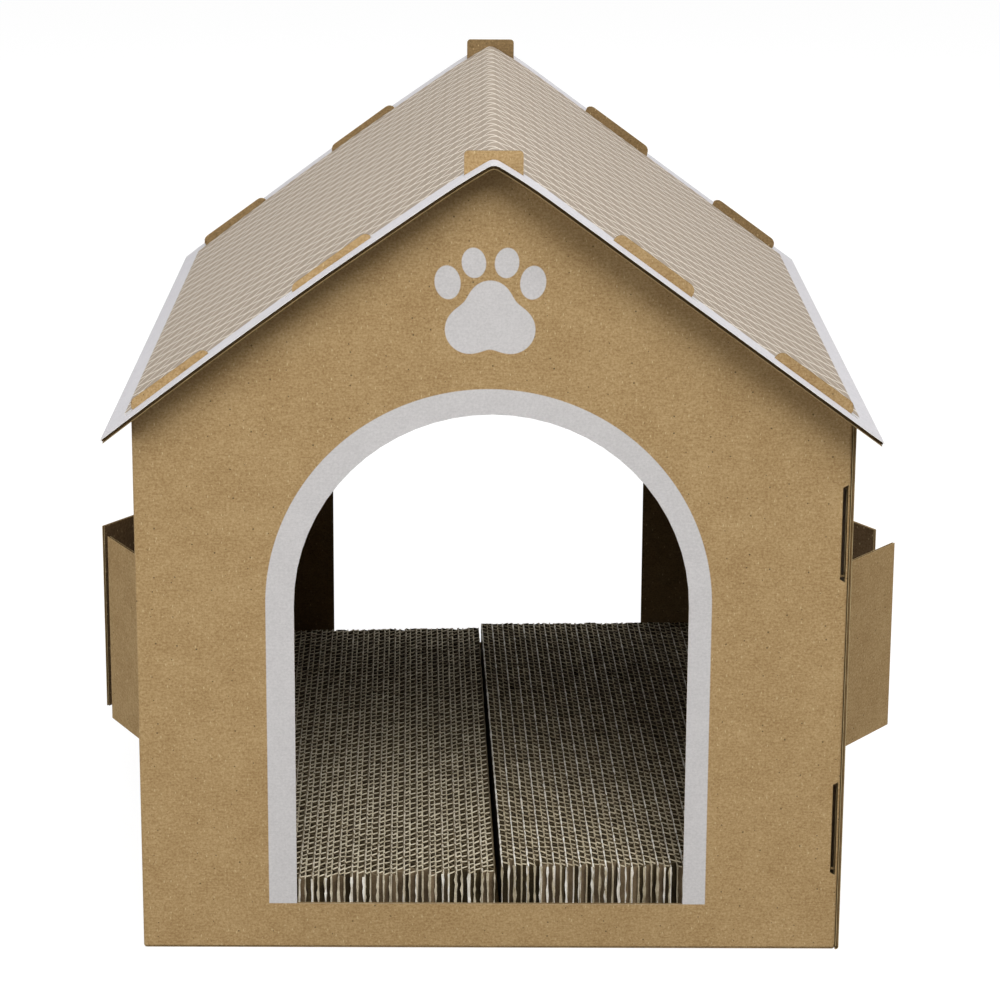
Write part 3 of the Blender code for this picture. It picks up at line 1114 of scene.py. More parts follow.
        def place(u: float, v: float, depth: float) -> Vector:
            """Bends a flat place round each fold that it lies past.

            Args:
                u: Place across the panel.
                v: Place up the panel.
                depth: Depth below the outer face.

            Returns:
                The point.
            """
            flat = [u, v]
            for fold, start in starts:
                past = (flat[fold.axis] - start) * fold.way
                if past <= 0:
                    continue
                angle = min(past / fold.radius, math.pi / 2)
                rest = past - angle * fold.radius
                arm = fold.radius - depth
                flat[fold.axis] = start + fold.way * (arm * math.sin(angle) + rest * math.cos(angle))
                depth = fold.radius - arm * math.cos(angle) + rest * math.sin(angle)
            return plane.point(flat[0], flat[1], depth)

        return place

    def dress(self) -> bpy.types.Object:
        """Makes the piece, and lets it ride and stand for its node.

        Returns:
            The piece.
        """
        piece = self.mesh().make(f"{self.node}_board", self.finish)
        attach(piece, self.body)
        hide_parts(self.node)
        return piece


@dataclass
class Body:
    """The folded body: four walls, the lock and the floor.

    Attributes:
        finish: Materials of a plain wall: outer liner, inner liner, medium and cut edges.
        printed: The same of a gable wall.
        inside: The same of the lock and the floor.
        roof: The roof sheet, which the gables stay under.
        fold_radius: The outer liner's radius round a fold.
        gap: What is left free under the roof, and how far a liner laps past a fold.
        tab_crease: Height of the crease of the front wall's top tab.
        bridge: Width of the outer liner beside the lock's notches.
        root_relief: How far the tongues' roots are cut back.
    """

    finish: Sequence[bpy.types.Material]
    printed: Sequence[bpy.types.Material]
    inside: Sequence[bpy.types.Material]
    roof: "Roof"
    fold_radius: float = 1.6 * MM
    gap: float = 0.3 * MM
    tab_crease: float = 413.2 * MM
    bridge: float = 1.2 * MM
    root_relief: float = 3.4 * MM

    def ceiling(self, across: float) -> float:
        """How high a gable may reach under the roof at a place across it."""
        over = [leaf.underside(across) for leaf in self.roof.leaves if leaf.side * across >= 0]
        return max(over) - self.gap

    def panels(self) -> list[Panel]:
        """The body's panels, from the front wall round to the floor.

        Returns:
            One panel for each node.
        """
        front, back = Vector((0, -1, 0)), Vector((0, 1, 0))
        left, right = Vector((-1, 0, 0)), Vector((1, 0, 0))
        down, level = Vector((0, 0, -1)), Vector((0, 1, 0))
        foot = Fold(Side.FOOT, self.fold_radius, self.gap)
        near_left = Fold(Side.LEFT, self.fold_radius, self.gap)
        near_right = Fold(Side.RIGHT, self.fold_radius, self.gap)
        lapped = Fold(Side.RIGHT, self.fold_radius + self.gap)
        kraft, inner = "kraft_board", "kraft_board_inside"
        panels = [
            Panel(
                "front_wall",
                front,
                self.printed,
                kraft,
                folds=(near_left, near_right, foot),
                ceiling=self.ceiling,
                tab_crease=self.tab_crease,
                bridge=self.bridge,
            ),
            Panel("left_wall", left, self.finish, kraft, folds=(foot,)),
            Panel("back_wall", back, self.printed, kraft, folds=(near_right, foot), ceiling=self.ceiling),
            Panel("right_wall", right, self.finish, kraft, folds=(lapped, foot)),
            Panel("lock_flap", right, self.inside, inner),
            Panel("lower_lock_tongue", back, self.inside, inner, root_relief=self.root_relief),
            Panel("upper_lock_tongue", back, self.inside, inner, root_relief=self.root_relief),
        ]
        for node in ("floor_panel", "left_floor_flap", "right_floor_flap", "back_floor_flap"):
            panels.append(Panel(node, down, self.inside, inner, up=level, flutes=Run.LEVEL))
        return panels


@dataclass
class Shutters:
    """Four window shutters, each with the strip of liner across its crease.

    Attributes:
        finish: Materials of the outer liner, inner liner, medium and cut edges.
        names: Each shutter's side and end.
        board: The board that they are cut from.
    """

    finish: Sequence[bpy.types.Material]
    names: tuple[str, ...] = ("left_front", "left_rear", "right_front", "right_rear")
    board: Board = Board()

    def panels(self) -> list[Panel]:
        """The shutters' own boards.

        Returns:
            One panel for each shutter.
        """
        panels = []
        for name in self.names:
            outward = Vector((1, 0, 0)) if name.startswith("right") else Vector((-1, 0, 0))
            node = f"{name}_shutter"
            panels.append(Panel(node, outward, self.finish, "kraft_board", body=node))
        return panels

    def crease(self, name: str) -> bpy.types.Object:
        """The strip of outer liner across one shutter's crease, laid between the wall and the shutter.

        Args:
            name: The shutter's side and end.

        Returns:
            The strip.
        """
        side = name.split("_")[0]
        outward = Vector((1 if side == "right" else -1, 0, 0))
        plane, loops = read_panel(f"{name}_shutter", outward, Vector((0, 0, 1)))
        flat = loops[0]
        low, high = min(v for _, v in flat), max(v for _, v in flat)
        ends = [plane.point(u, low, 0.0) for u in (min(p[0] for p in flat), max(p[0] for p in flat))]
        wall_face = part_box(f"{side}_wall")[1 if side == "right" else 0].x
        leaf_edge = min(ends, key=lambda p: abs(p.x - wall_face))
        joint = next(j for j in frame["joints"] if j["name"] == f"{name}_crease")
        wall_edge = Vector((wall_face, joint["pos_m"][1], low))
        edges = [(wall_edge, -outward), (leaf_edge, -plane.outward)]
        feet = [(Vector((edge.x, edge.y, 0.0)), inward) for edge, inward in edges]
        work = MeshWork()
        work.add_strip(feet, Vector((0.0, 0.0, 1.0)), (low, high), 1, self.board.liner)
        strip = work.make(f"{name}_crease_liner", self.finish[:1])
        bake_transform(strip)
        return strip


@dataclass
class RoofLeaf:
    """Half of the roof sheet, from the ridge's crease down to the eave.

    Attributes:
        side: -1 for the left leaf and 1 for the right one.
        finish: Materials of the outer liner, inner liner, medium and cut edges, in the order of Layer.
        profile: The sheet's slope in degrees at distances from the crease in millimetres. The crease is
            tight, the board next to it lies flatter than the rest, and the left leaf keeps a slight bow.
        setback: How far the medium ends behind the sheet's front and rear cuts.
        flare: How far the inner liner has come off the medium at those cuts.
        flare_reach: How far in from the cuts it has done so.
        flare_rows: Where the inner liner is sampled there, as shares of that reach.
        slope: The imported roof's slope.
        ridge_radius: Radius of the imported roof's rounded ridge.
        step: How finely the sheet's curve is followed.
        trace_reach: How far down the sheet it is.
        tight_bends: How many cuts lie a step apart from the crease on.
        bends: Where the others lie, in millimetres from the crease.
        board: The board that it is cut from.
    """

    side: int
    finish: Sequence[bpy.types.Material]
    profile: tuple[Point2, ...] = ((0.0, 0.0), (3.2, 30.2), (34.0, 36.1), (240.0, 35.9))
    slope: float = math.radians(36.0)
    ridge_radius: float = 15.0 * MM
    step: float = 0.8 * MM
    trace_reach: float = 250.0 * MM
    tight_bends: int = 5
    bends: tuple[int, ...] = (6, 10, 15, 20, 26, 34, *range(60, 240, 20))
    setback: float = 1.3 * MM
    flare: float = 0.5 * MM
    flare_reach: float = 17.0 * MM
    flare_rows: tuple[float, ...] = (1.0, 0.7, 0.45, 0.25, 0.1)
    board: Board = Board(pitch=486.0 / 147 * MM, turn=0.25, steps=6)

    def __post_init__(self) -> None:
        """Reads the ridge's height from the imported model, and follows the sheet's curve down from it."""
        self.node = "roof_right" if self.side > 0 else "roof_left"
        self.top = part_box("roof_right")[1].z
        self.centre = self.top - self.ridge_radius
        self.trace: list[Point2] = [(0.0, 0.0)]
        while len(self.trace) * self.step < self.trace_reach:
            angle = self.angle((len(self.trace) - 0.5) * self.step)
            x, z = self.trace[-1]
            self.trace.append((x + self.step * math.cos(angle), z - self.step * math.sin(angle)))

    def angle(self, reach: float) -> float:
        """The sheet's slope at a distance from the crease.

        Args:
            reach: The distance; beyond the crease the slope is the other way.

        Returns:
            The slope in radians.
        """
        if reach < 0:
            return -self.angle(-reach)
        for (near, low), (far, high) in zip(self.profile, self.profile[1:]):
            if reach <= far * MM:
                return math.radians(low + (high - low) * (reach / MM - near) / (far - near))
        return math.radians(self.profile[-1][1])

    def place(self, reach: float, level: float, depth: float) -> Vector:
        """Puts a flat place on the sheet in space.

        Args:
            reach: Distance down the sheet from the crease.
            level: Place along the ridge.
            depth: Depth below the outer face.

        Returns:
            The point.
        """
        count = min(int(reach / self.step), len(self.trace) - 2)
        (x, z), (next_x, next_z) = self.trace[count : count + 2]
        share = reach / self.step - count
        angle = self.angle(reach)
        x += share * (next_x - x) - depth * math.sin(angle)
        z += share * (next_z - z) - depth * math.cos(angle)
        return Vector((self.side * x, level, self.top + z))

    def underside(self, x: float) -> float:
        """Finds the height of the sheet's lower face.

        Args:
            x: The place across the house.

        Returns:
            The height over it.
        """
        reaches = [i * self.step for i in range(len(self.trace) - 1)]
        points = [self.place(reach, 0.0, self.board.thickness) for reach in reaches]
        return min(points, key=lambda point: abs(abs(point.x) - abs(x))).z

    def outline(self) -> list[Loop]:
        """The sheet's outline with its slots, laid flat.

        Returns:
            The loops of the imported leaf's outer face.
        """
        mesh = frame["nodes"][self.node].data

        def laid_flat(point: Vector) -> tuple[float, float, float]:
            """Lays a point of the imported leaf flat.

            Args:
                point: The point in space.

            Returns:
                Its distance from the crease, its place along the ridge and its depth.
            """
            across, up = point.x * self.side, point.z - self.centre
            run = across * math.cos(self.slope) - up * math.sin(self.slope)
            if run > 0:
                arm = across * math.sin(self.slope) + up * math.cos(self.slope)
                return self.slope * self.ridge_radius + run, point.y, self.ridge_radius - arm
            arm = math.hypot(across, up)
            return math.atan2(across, up) * self.ridge_radius, point.y, self.ridge_radius - arm

        triangles = []
        for polygon in mesh.polygons:
            corners = [laid_flat(mesh.vertices[i].co) for i in polygon.vertices]
            if all(abs(corner[2]) < TINY for corner in corners):
                triangles.append([(corner[0], corner[1]) for corner in corners])
        return rim_of(triangles)

    def mesh(self) -> MeshWork:
        """Builds the leaf's three layers.

        Returns:
            The collected mesh.
        """
        loops = self.outline()
        board = self.board
        bends = [i * self.step for i in range(1, self.tight_bends + 1)] + [i * MM for i in self.bends]
        work = MeshWork()
        skin = slice_outline(loops, Run.UPRIGHT, bends)
        work.add_shell(skin, 0.0, board.liner, self.place, Layer.OUTER, Layer.FACE_CUT)
        end = max(point[1] for loop in loops for point in loop)

        def lining_face(u: float, v: float) -> float:
            """Gives the depth of the inner liner, which hangs off the medium near the cuts.

            Args:
                u: Distance from the crease.
                v: Place along the ridge.

            Returns:
                The depth of the face that is glued to the medium elsewhere.
            """
            loose = max(1 - (end - abs(v)) / self.flare_reach, 0.0) ** 2
            return board.thickness - board.liner + self.flare * loose

        rows = [way * (end - self.flare_reach * share) for way in (-1, 1) for share in self.flare_rows]
        lining = slice_outline(loops, Run.UPRIGHT, bends, sorted(rows))
        work.add_shell(lining, lining_face, board.liner, self.place, Layer.INNER)
        low, high = self.setback - end, end - self.setback
        within = [[(u, min(max(v, low), high)) for u, v in loop] for loop in loops]
        waves = slice_outline(within, Run.LEVEL, board.stations(low, high), bends)
        layers = (Layer.MEDIUM, Layer.MEDIUM)
        work.add_shell(waves, lambda u, v: board.wave(v), board.medium, self.place, *layers)
        work.blanks = [(self.side * u, v, w) for u, v, w in work.blanks]
        return work

    def dress(self) -> bpy.types.Object:
        """Makes the leaf, and lets it ride and stand for its node.

        Returns:
            The leaf.
        """
        piece = self.mesh().make(f"{self.node}_board", self.finish)
        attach(piece, self.node)
        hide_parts(self.node)
        return piece

    def ridge_runs(self) -> list[tuple[float, float]]:
        """Finds where the sheet carries on over the crease, between its slots.

        Returns:
            The stretches along the ridge, from the front to the back.
        """
        loops = self.outline()
        nearest = min(point[0] for loop in loops for point in loop)
        return sorted(
            (min(start[1], end[1]), max(start[1], end[1]))
            for loop in loops
            for start, end in sides(loop)
            if max(start[0], end[0]) < nearest + TINY
        )


@dataclass
class Roof:
    """The roof sheet: two leaves and the liner over the crease between them.

    Attributes:
        finish: Materials of the outer liner, inner liner, medium and cut edges.
        left_profile: The left leaf's slope, as RoofLeaf.profile gives it.
        leaves: The left and the right leaf.
    """

    finish: Sequence[bpy.types.Material]
    left_profile: tuple[Point2, ...] = (
        (0.0, 0.0),
        (3.2, 30.2),
        (34.0, 34.7),
        (80.0, 34.6),
        (115.0, 36.0),
        (240.0, 37.9),
    )
    leaves: list[RoofLeaf] = field(default_factory=list)

    def __post_init__(self) -> None:
        """Sets up the two leaves."""
        self.leaves = [RoofLeaf(-1, self.finish, self.left_profile), RoofLeaf(1, self.finish)]

    def dress(self) -> list[bpy.types.Object]:
        """Makes the leaves and the liner over the ridge.

        Returns:
            The pieces.
        """
        pieces = [leaf.dress() for leaf in self.leaves]
        pieces.append(self.ridge_liner())
        return pieces

    def ridge_liner(self) -> bpy.types.Object:
        """The outer liner's narrow stretch over the crease, laid between the two leaves.

        Returns:
            The piece.
        """
        left, right = self.leaves
        edge = min(point[0] for loop in right.outline() for point in loop)
        corners = [left.place(edge, 0.0, 0.0), right.place(edge, 0.0, 0.0)]
        feet = [(corner, Vector((0.0, 0.0, -1.0))) for corner in corners]
        work = MeshWork()
        for levels in right.ridge_runs():
            work.add_strip(feet, Vector((0.0, 1.0, 0.0)), levels, 0, right.board.liner)
        strip = work.make("ridge_crease_liner", self.finish[:1])
        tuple(corners[0])
        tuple(corners[1])
        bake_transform(strip)
        return strip


class Paper(Enum):
    """The papers of a scratch pad, and their places among its materials."""

    FACE = 0
    BRIGHT = 1
    DULL = 2
    INNER = 3
    OUTER = 4
    SAWN = 5


@dataclass
class ScratchPad:
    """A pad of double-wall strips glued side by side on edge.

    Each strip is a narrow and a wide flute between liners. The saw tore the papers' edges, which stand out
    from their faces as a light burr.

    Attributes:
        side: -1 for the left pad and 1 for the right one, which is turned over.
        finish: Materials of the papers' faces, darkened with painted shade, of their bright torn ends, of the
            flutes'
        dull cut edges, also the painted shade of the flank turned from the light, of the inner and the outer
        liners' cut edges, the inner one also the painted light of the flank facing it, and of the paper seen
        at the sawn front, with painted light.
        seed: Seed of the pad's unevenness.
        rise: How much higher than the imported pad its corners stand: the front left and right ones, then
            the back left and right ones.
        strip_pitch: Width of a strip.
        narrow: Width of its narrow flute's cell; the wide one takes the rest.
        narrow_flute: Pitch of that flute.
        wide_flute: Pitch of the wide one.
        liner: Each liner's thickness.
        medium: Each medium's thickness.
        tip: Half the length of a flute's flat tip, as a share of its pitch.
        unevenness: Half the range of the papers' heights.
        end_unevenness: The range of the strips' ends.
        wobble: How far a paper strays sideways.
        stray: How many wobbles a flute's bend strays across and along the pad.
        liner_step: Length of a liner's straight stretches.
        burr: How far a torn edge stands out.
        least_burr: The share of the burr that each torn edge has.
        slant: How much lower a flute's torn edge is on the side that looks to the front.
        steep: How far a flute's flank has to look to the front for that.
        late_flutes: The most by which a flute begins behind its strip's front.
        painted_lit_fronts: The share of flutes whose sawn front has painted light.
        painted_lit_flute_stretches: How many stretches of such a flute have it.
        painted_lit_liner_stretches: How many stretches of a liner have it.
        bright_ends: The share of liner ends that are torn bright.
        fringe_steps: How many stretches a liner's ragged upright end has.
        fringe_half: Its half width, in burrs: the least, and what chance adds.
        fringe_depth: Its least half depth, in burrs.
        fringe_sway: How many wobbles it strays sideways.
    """

    side: int
    finish: Sequence[bpy.types.Material]
    seed: int
    rise: tuple[float, float, float, float]
    strip_pitch: float = 6.78 * MM
    narrow: float = 2.85 * MM
    narrow_flute: float = 6.2 * MM
    wide_flute: float = 7.9 * MM
    liner: float = 0.26 * MM
    medium: float = 0.22 * MM
    tip: float = 0.1
    unevenness: float = 0.3 * MM
    end_unevenness: float = 1.5 * MM
    wobble: float = 0.12 * MM
    stray: tuple[float, float] = (0.3, 3.0)
    liner_step: float = 3.0 * MM
    burr: float = 0.33 * MM
    least_burr: float = 0.25
    slant: float = 0.42 * MM
    steep: float = 0.3
    late_flutes: float = 6.0 * MM
    painted_lit_fronts: float = 0.62
    painted_lit_flute_stretches: int = 3
    painted_lit_liner_stretches: int = 2
    bright_ends: float = 0.35
    fringe_steps: int = 12
    fringe_half: tuple[float, float] = (0.4, 2.0)
    fringe_depth: float = 0.6
    fringe_sway: float = 4.0

    def __post_init__(self) -> None:
        """Reads the pad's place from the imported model."""
        self.node = "right_scratch_pad" if self.side > 0 else "left_scratch_pad"
        mesh = frame["nodes"][self.node].data
        low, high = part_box(self.node)
        foot = [v.co.copy() for v in mesh.vertices if v.co.z < low.z + TINY]
        self.corner = min(foot, key=lambda p: p.x + p.y)
        far_x = max(foot, key=lambda p: p.x - p.y)
        far_y = min(foot, key=lambda p: p.x - p.y)
        self.width = (far_x - self.corner).length
        self.length = (far_y - self.corner).length
        self.across = (far_x - self.corner).normalized()
        self.along = (far_y - self.corner).normalized()
        self.height = high.z - low.z
        self.chance = random.Random(self.seed)
        self.work = MeshWork()

    def place(self, x: float, y: float, z: float) -> Vector:
        """Puts a place in the pad in space.

        Args:
            x: Place across its strips.
            y: Place along them.
            z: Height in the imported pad.

        Returns:
            The point, with the pad's corners raised.
        """
        front_left, front_right, back_left, back_right = self.rise
        share_x, share_y = x / self.width, y / self.length
        front = front_left + (front_right - front_left) * share_x
        back = back_left + (back_right - back_left) * share_x
        lift = front + (back - front) * share_y
        up = Vector((0.0, 0.0, z * (1 + lift / self.height)))
        return self.corner + self.across * x + self.along * y + up

    def add_place(self, x: float, y: float, z: float, low: float) -> None:
        """Adds a point that stays between the pad's ends.

        Args:
            x: Place across the pad.
            y: Place along it.
            z: Height on the flat paper.
            low: Height in the pad.
        """
        self.work.points.append(self.place(x, min(max(y, 0.0), self.length), low))
        self.work.blanks.append((x, y, z))

    def paper(
        self, path: list[Point2], thickness: float, edge: Callable[[int], Paper], fresh: int
    ) -> None:
        """Adds an upright sheet of paper that follows a path in plan.

        Args:
            path: Its middle line, across and along the pad.
            thickness: The paper's thickness.
            edge: Gives the paper of the cut edge between a point and the next one; all but the dull are torn.
            fresh: How many of its first stretches show the paper of the sawn front, with painted light.
        """
        work, chance = self.work, self.chance
        first = len(work.points)
        for i, (x, y) in enumerate(path):
            before, after = path[max(i - 1, 0)], path[min(i + 1, len(path) - 1)]
            direction = Vector((after[0] - before[0], after[1] - before[1])).normalized()
            torn = self.burr * (chance.random() + (0.0 if edge(i) is Paper.DULL else self.least_burr))
            top = self.height - chance.random() * self.unevenness * 2
            slanted = direction.x if Paper.INNER in (edge(i), edge(i - 1)) else 0.0
            for half, z in ((thickness / 2, 0.0), (thickness / 2 + torn, top)):
                for way in (-1, 1):
                    side_x = x - way * direction.y * half
                    side_y = y + way * direction.x * half
                    low = z - self.slant if z and way * slanted < -self.steep else z
                    self.add_place(side_x, side_y, z, low)
        for i in range(len(path) - 1):
            a, b = first + 4 * i, first + 4 * i + 4
            work.faces += [[a, b, b + 2, a + 2], [b + 1, a + 1, a + 3, b + 3]]
            work.faces += [[a + 2, b + 2, b + 3, a + 3], [a, a + 1, b + 1, b]]
            # The first stretches at the sawn front get the paper with painted light.
            face = Paper.SAWN if i < fresh else Paper.FACE
            work.slots += [face.value, face.value, edge(i).value, Paper.FACE.value]
        last = first + 4 * (len(path) - 1)
        work.faces += [[first, first + 2, first + 3, first + 1], [last, last + 1, last + 3, last + 2]]
        work.slots += [edge(0).value] * 2

    def fringe(self, x: float, y: float, edge: Paper) -> None:
        """Adds the ragged upright edge of one liner where the saw tore it.

        Args:
            x: Where the liner stands across the pad.
            y: Where it ends along the pad.
            edge: The edge's paper.
        """
        work, chance = self.work, self.chance
        first = len(work.points)
        count = self.fringe_steps
        least, more = self.fringe_half
        for i in range(count + 1):
            z = (self.height - self.unevenness) * i / count
            half = self.burr * (least + more * chance.random() ** 2)
            middle = x + self.wobble * self.fringe_sway * (chance.random() - 0.5)
            depth = self.burr * (self.fringe_depth + chance.random())
            for over_x, over_y in ((-half, 0.0), (half, 0.0), (0.0, -depth), (0.0, depth)):
                self.add_place(middle + over_x, y + over_y, z, z)
        for i in range(count):
            a, b = first + 4 * i, first + 4 * i + 4
            for left, right in ((0, 2), (2, 1), (1, 3), (3, 0)):
                work.faces.append([a + left, a + right, b + right, b + left])
        last = first + 4 * count
        work.faces += [[first, first + 3, first + 1, first + 2], [last, last + 2, last + 1, last + 3]]
        work.slots += [edge.value] * (4 * count + 2)

    def flutes(self, low: float, high: float, pitch: float, start: float, end: float) -> None:
        """Adds one fluted medium between two liners.

        Args:
            low: Where its cell begins across the pad.
            high: Where its cell ends.
            pitch: The flute's pitch.
            start: Where the strip begins along the pad.
            end: Where it ends.
        """
        near, far = low + self.medium / 2, high - self.medium / 2
        phase = self.chance.random()
        steps = [(-self.tip, near), (self.tip, near), (0.5 - self.tip, far), (0.5 + self.tip, far)]
        path: list[Point2] = []
        kinds = []
        stray_x, stray_y = self.stray
        turn = math.floor(start / pitch) - 1
        while not path or path[-1][1] < end:
            for kind, (share, x) in enumerate(steps):
                y = (turn + phase + share) * pitch
                if y > start + TINY and (not path or path[-1][1] < end):
                    jitter = self.wobble * (self.chance.random() - 0.5)
                    path.append((x + jitter * (1 if x == near else -1) * stray_x, y + jitter * stray_y))
                    kinds.append(kind)
            turn += 1
        # The flank that faces the middle of the house, where the light comes in, gets the beige torn paper as
        # painted light; the other flank gets the dull edge, as painted shade, like the tips.
        torn = 1 if self.side < 0 else 3
        path[-1] = (path[-1][0], end)
        fresh = self.painted_lit_flute_stretches if self.chance.random() < self.painted_lit_fronts else 0
        edges = [Paper.INNER if kind == torn else Paper.DULL for kind in kinds]
        self.paper(path, self.medium, lambda i: edges[i] if i >= 0 else Paper.DULL, fresh)

    def straight(self, x: float, start: float, end: float, edge: Paper) -> None:
        """Adds one liner.

        Args:
            x: Where it stands across the pad.
            start: Where it begins along the pad.
            end: Where it ends.
            edge: The paper of its torn edge.
        """
        count = max(int((end - start) / self.liner_step), 1)
        path = []
        for i in range(count + 1):
            lean = self.wobble * (self.chance.random() - 0.5)
            path.append((x + lean, start + (end - start) * i / count))
        self.paper(path, self.liner, lambda i: edge, self.painted_lit_liner_stretches)
        for y in (path[0][1], path[-1][1]):
            bright = self.chance.random() < self.bright_ends
            self.fringe(path[0][0], y, Paper.BRIGHT if bright else Paper.INNER)

    def dress(self) -> bpy.types.Object:
        """Builds the pad strip by strip, and lets it ride and stand for its node.

        Returns:
            The pad.
        """
        count = round(self.width / self.strip_pitch)
        for i in range(count):
            start = self.chance.random() * self.end_unevenness
            end = self.length - self.chance.random() * self.end_unevenness
            low = i * self.strip_pitch + self.liner / 2 + self.wobble
            high = (i + 1) * self.strip_pitch - self.liner / 2 - self.wobble
            narrow, wide = (self.narrow_flute, self.narrow), (self.wide_flute, high - low - self.narrow)
            order = (narrow, wide) if self.side < 0 else (wide, narrow)
            x = low
            self.straight(x, start, end, Paper.OUTER)
            for edge, (pitch, room) in zip((Paper.INNER, Paper.DULL), order):
                late = self.late_flutes * self.chance.random() ** 2
                self.flutes(x + self.liner / 2, x + room - self.liner / 2, pitch, start + late, end)
                x += room
                self.straight(x, start + self.end_unevenness * self.chance.random() / 2, end, edge)
        piece = self.work.make(f"{self.node}_strips", self.finish, sharp=25.0)
        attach(piece, self.node)
        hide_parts(self.node)
        return piece


@dataclass(frozen=True)
class Lamp:
    """A soft square lamp of a photographer's studio. Sizes in metres."""

    name: str
    place: tuple[float, float, float]
    size: float
    watts: float
    aim: tuple[float, float, float] = (0.0, 0.0, 0.2)

    def make(self) -> bpy.types.Object:
        """Makes the lamp, turned to its aim.

        Returns:
            The lamp.
        """
        data = bpy.data.lights.new(self.name, "AREA")
        data.shape = "SQUARE"
        data.size = self.size
        data.energy = self.watts
        lamp = bpy.data.objects.new(self.name, data)
        lamp.location = self.place
        lamp.rotation_euler = (Vector(self.aim) - Vector(self.place)).to_track_quat("-Z", "Y").to_euler()
        bpy.context.scene.collection.objects.link(lamp)
        return lamp


@dataclass
class Studio:
    """The photograph's camera, a pale floor, white surroundings and soft lamps.

    The floor and the surroundings show white, and light the object as far less bright ones would.

    Attributes:
        camera_place: Where the camera stands.
        pitch: How far it looks down.
        yaw: How far it is turned to the right.
        roll: How far it is tilted.
        lens: Its focal length in millimetres, on a sensor 36 mm wide.
        clip: The nearest and the farthest that it sees.
        floor_size: The floor's width.
        floor_drop: How far it lies below the object.
        floor_lit: The floor's colour as light meets it.
        floor_shown: Its colour as the camera sees it, over its own glow.
        floor_glow: How strong that glow is, which leaves a faint shadow.
        sky: The directions' height between which the surroundings get brighter.
        horizon: How brightly the surroundings light the object from below those.
        zenith: How brightly from above them.
        lamps: The lamps.
    """

    camera_place: tuple[float, float, float] = (-0.0088, -1.7839, 0.6603)
    pitch: float = math.radians(15.02)
    yaw: float = math.radians(0.47)
    roll: float = math.radians(0.35)
    lens: float = 115.85
    clip: tuple[float, float] = (0.05, 60.0)
    floor_size: float = 12.0
    floor_drop: float = 0.2 * MM
    floor_lit: str = "#8A8A8A"
    floor_shown: str = "#6A6A6A"
    floor_glow: float = 0.93
    sky: tuple[float, float] = (0.1, 0.8)
    horizon: float = 0.06
    zenith: float = 0.35
    lamps: tuple[Lamp, ...] = (
        Lamp("key_softbox", (0.5, -2.3, 2.7), 2.0, 94.5),
        Lamp("top_softbox", (0.4, -0.1, 2.9), 1.8, 30.0),
        Lamp("low_fill", (-2.2, -1.6, 0.35), 1.2, 27.0),
        Lamp("left_softbox", (-2.6, 0.9, 1.8), 1.6, 4.0),
        Lamp("right_softbox", (2.6, 0.9, 1.8), 1.6, 7.0),
        Lamp("back_softbox", (0.0, 2.8, 2.0), 1.6, 10.0),
    )

    def camera(self) -> bpy.types.Object:
        """Makes the camera at the photograph's place.

        Returns:
            The camera, set as the scene's.
        """
        data = bpy.data.cameras.new("photo_camera")
        data.lens = self.lens
        data.clip_start, data.clip_end = self.clip
        camera = bpy.data.objects.new("photo_camera", data)
        ahead = math.cos(self.pitch)
        forward = Vector((math.sin(self.yaw) * ahead, math.cos(self.yaw) * ahead, -math.sin(self.pitch)))
        level = Vector((math.cos(self.yaw), -math.sin(self.yaw), 0.0))
        rise = level.cross(forward)
        right = level * math.cos(self.roll) + rise * math.sin(self.roll)
        top = right.cross(forward)
        turn = Matrix((right, top, -forward)).transposed()
        camera.matrix_world = Matrix.Translation(self.camera_place) @ turn.to_4x4()
        bpy.context.scene.collection.objects.link(camera)
        bpy.context.scene.camera = camera
        return camera

    def floor(self) -> bpy.types.Object:
        """Makes the floor, which shows white and keeps a faint shadow.

        Returns:
            The floor.
        """
        shape = bmesh.new()
        bmesh.ops.create_grid(shape, x_segments=1, y_segments=1, size=self.floor_size / 2)
        mesh = bpy.data.meshes.new("studio_floor")
        shape.to_mesh(mesh)
        shape.free()
        floor = bpy.data.objects.new("studio_floor", mesh)
        floor.location.z = -self.floor_drop
        bpy.context.scene.collection.objects.link(floor)
        # Matt white paper: it shows no highlight, only the object's faint shadow.
        surface = Surface(bpy.data.materials.new("white_studio_floor"))
        matt = surface.add("BsdfDiffuse", {"Color": linear(self.floor_lit)})
        shown = surface.add("BsdfDiffuse", {"Color": linear(self.floor_shown)})
        glow = surface.add("Emission", {"Color": linear("#FFFFFF"), "Strength": self.floor_glow})
        white = surface.add("AddShader", {0: shown, 1: glow})
        mixed = surface.add("MixShader", {0: self.seen(surface), 1: matt, 2: white})
        mesh.materials.append(surface.finish(mixed))
        return floor

    @staticmethod
    def seen(surface: Surface) -> bpy.types.Node:
        """Adds the nodes that tell what the camera sees, also in a gloss, from what lights the object.

        Args:
            surface: The material or the world being made.

        Returns:
            The node that gives 1 for what is seen.
        """
        path = surface.add("LightPath")
        rays = {0: path.outputs["Is Camera Ray"], 1: path.outputs["Is Glossy Ray"]}
        return surface.add("Math", rays, operation="MAXIMUM")

    def world(self) -> bpy.types.World:
        """Makes white surroundings that light the object less than they show, and more from above.

        Returns:
            The world, set as the scene's.
        """
        surface = Surface(bpy.data.worlds.new("studio"))
        way = surface.add("TexCoord")
        parts = surface.add("SeparateXYZ", {0: way.outputs["Generated"]})
        low, high = self.sky
        rise = {"Value": parts.outputs["Z"], "From Min": low, "From Max": high}
        sky = surface.add("MapRange", rise | {"To Min": self.horizon, "To Max": self.zenith})
        level = surface.add("MapRange", {"Value": self.seen(surface), "To Min": sky, "To Max": 1.0})
        light = surface.add("Background", {"Color": linear("#FFFFFF"), "Strength": level})
        bpy.context.scene.world = surface.finish(light)
        return bpy.context.scene.world

    def make(self) -> None:
        """Sets up the whole studio."""
        self.camera()
        self.floor()
        self.world()
        for lamp in self.lamps:
            lamp.make()
        bpy.context.scene.view_settings.view_transform = "Standard"


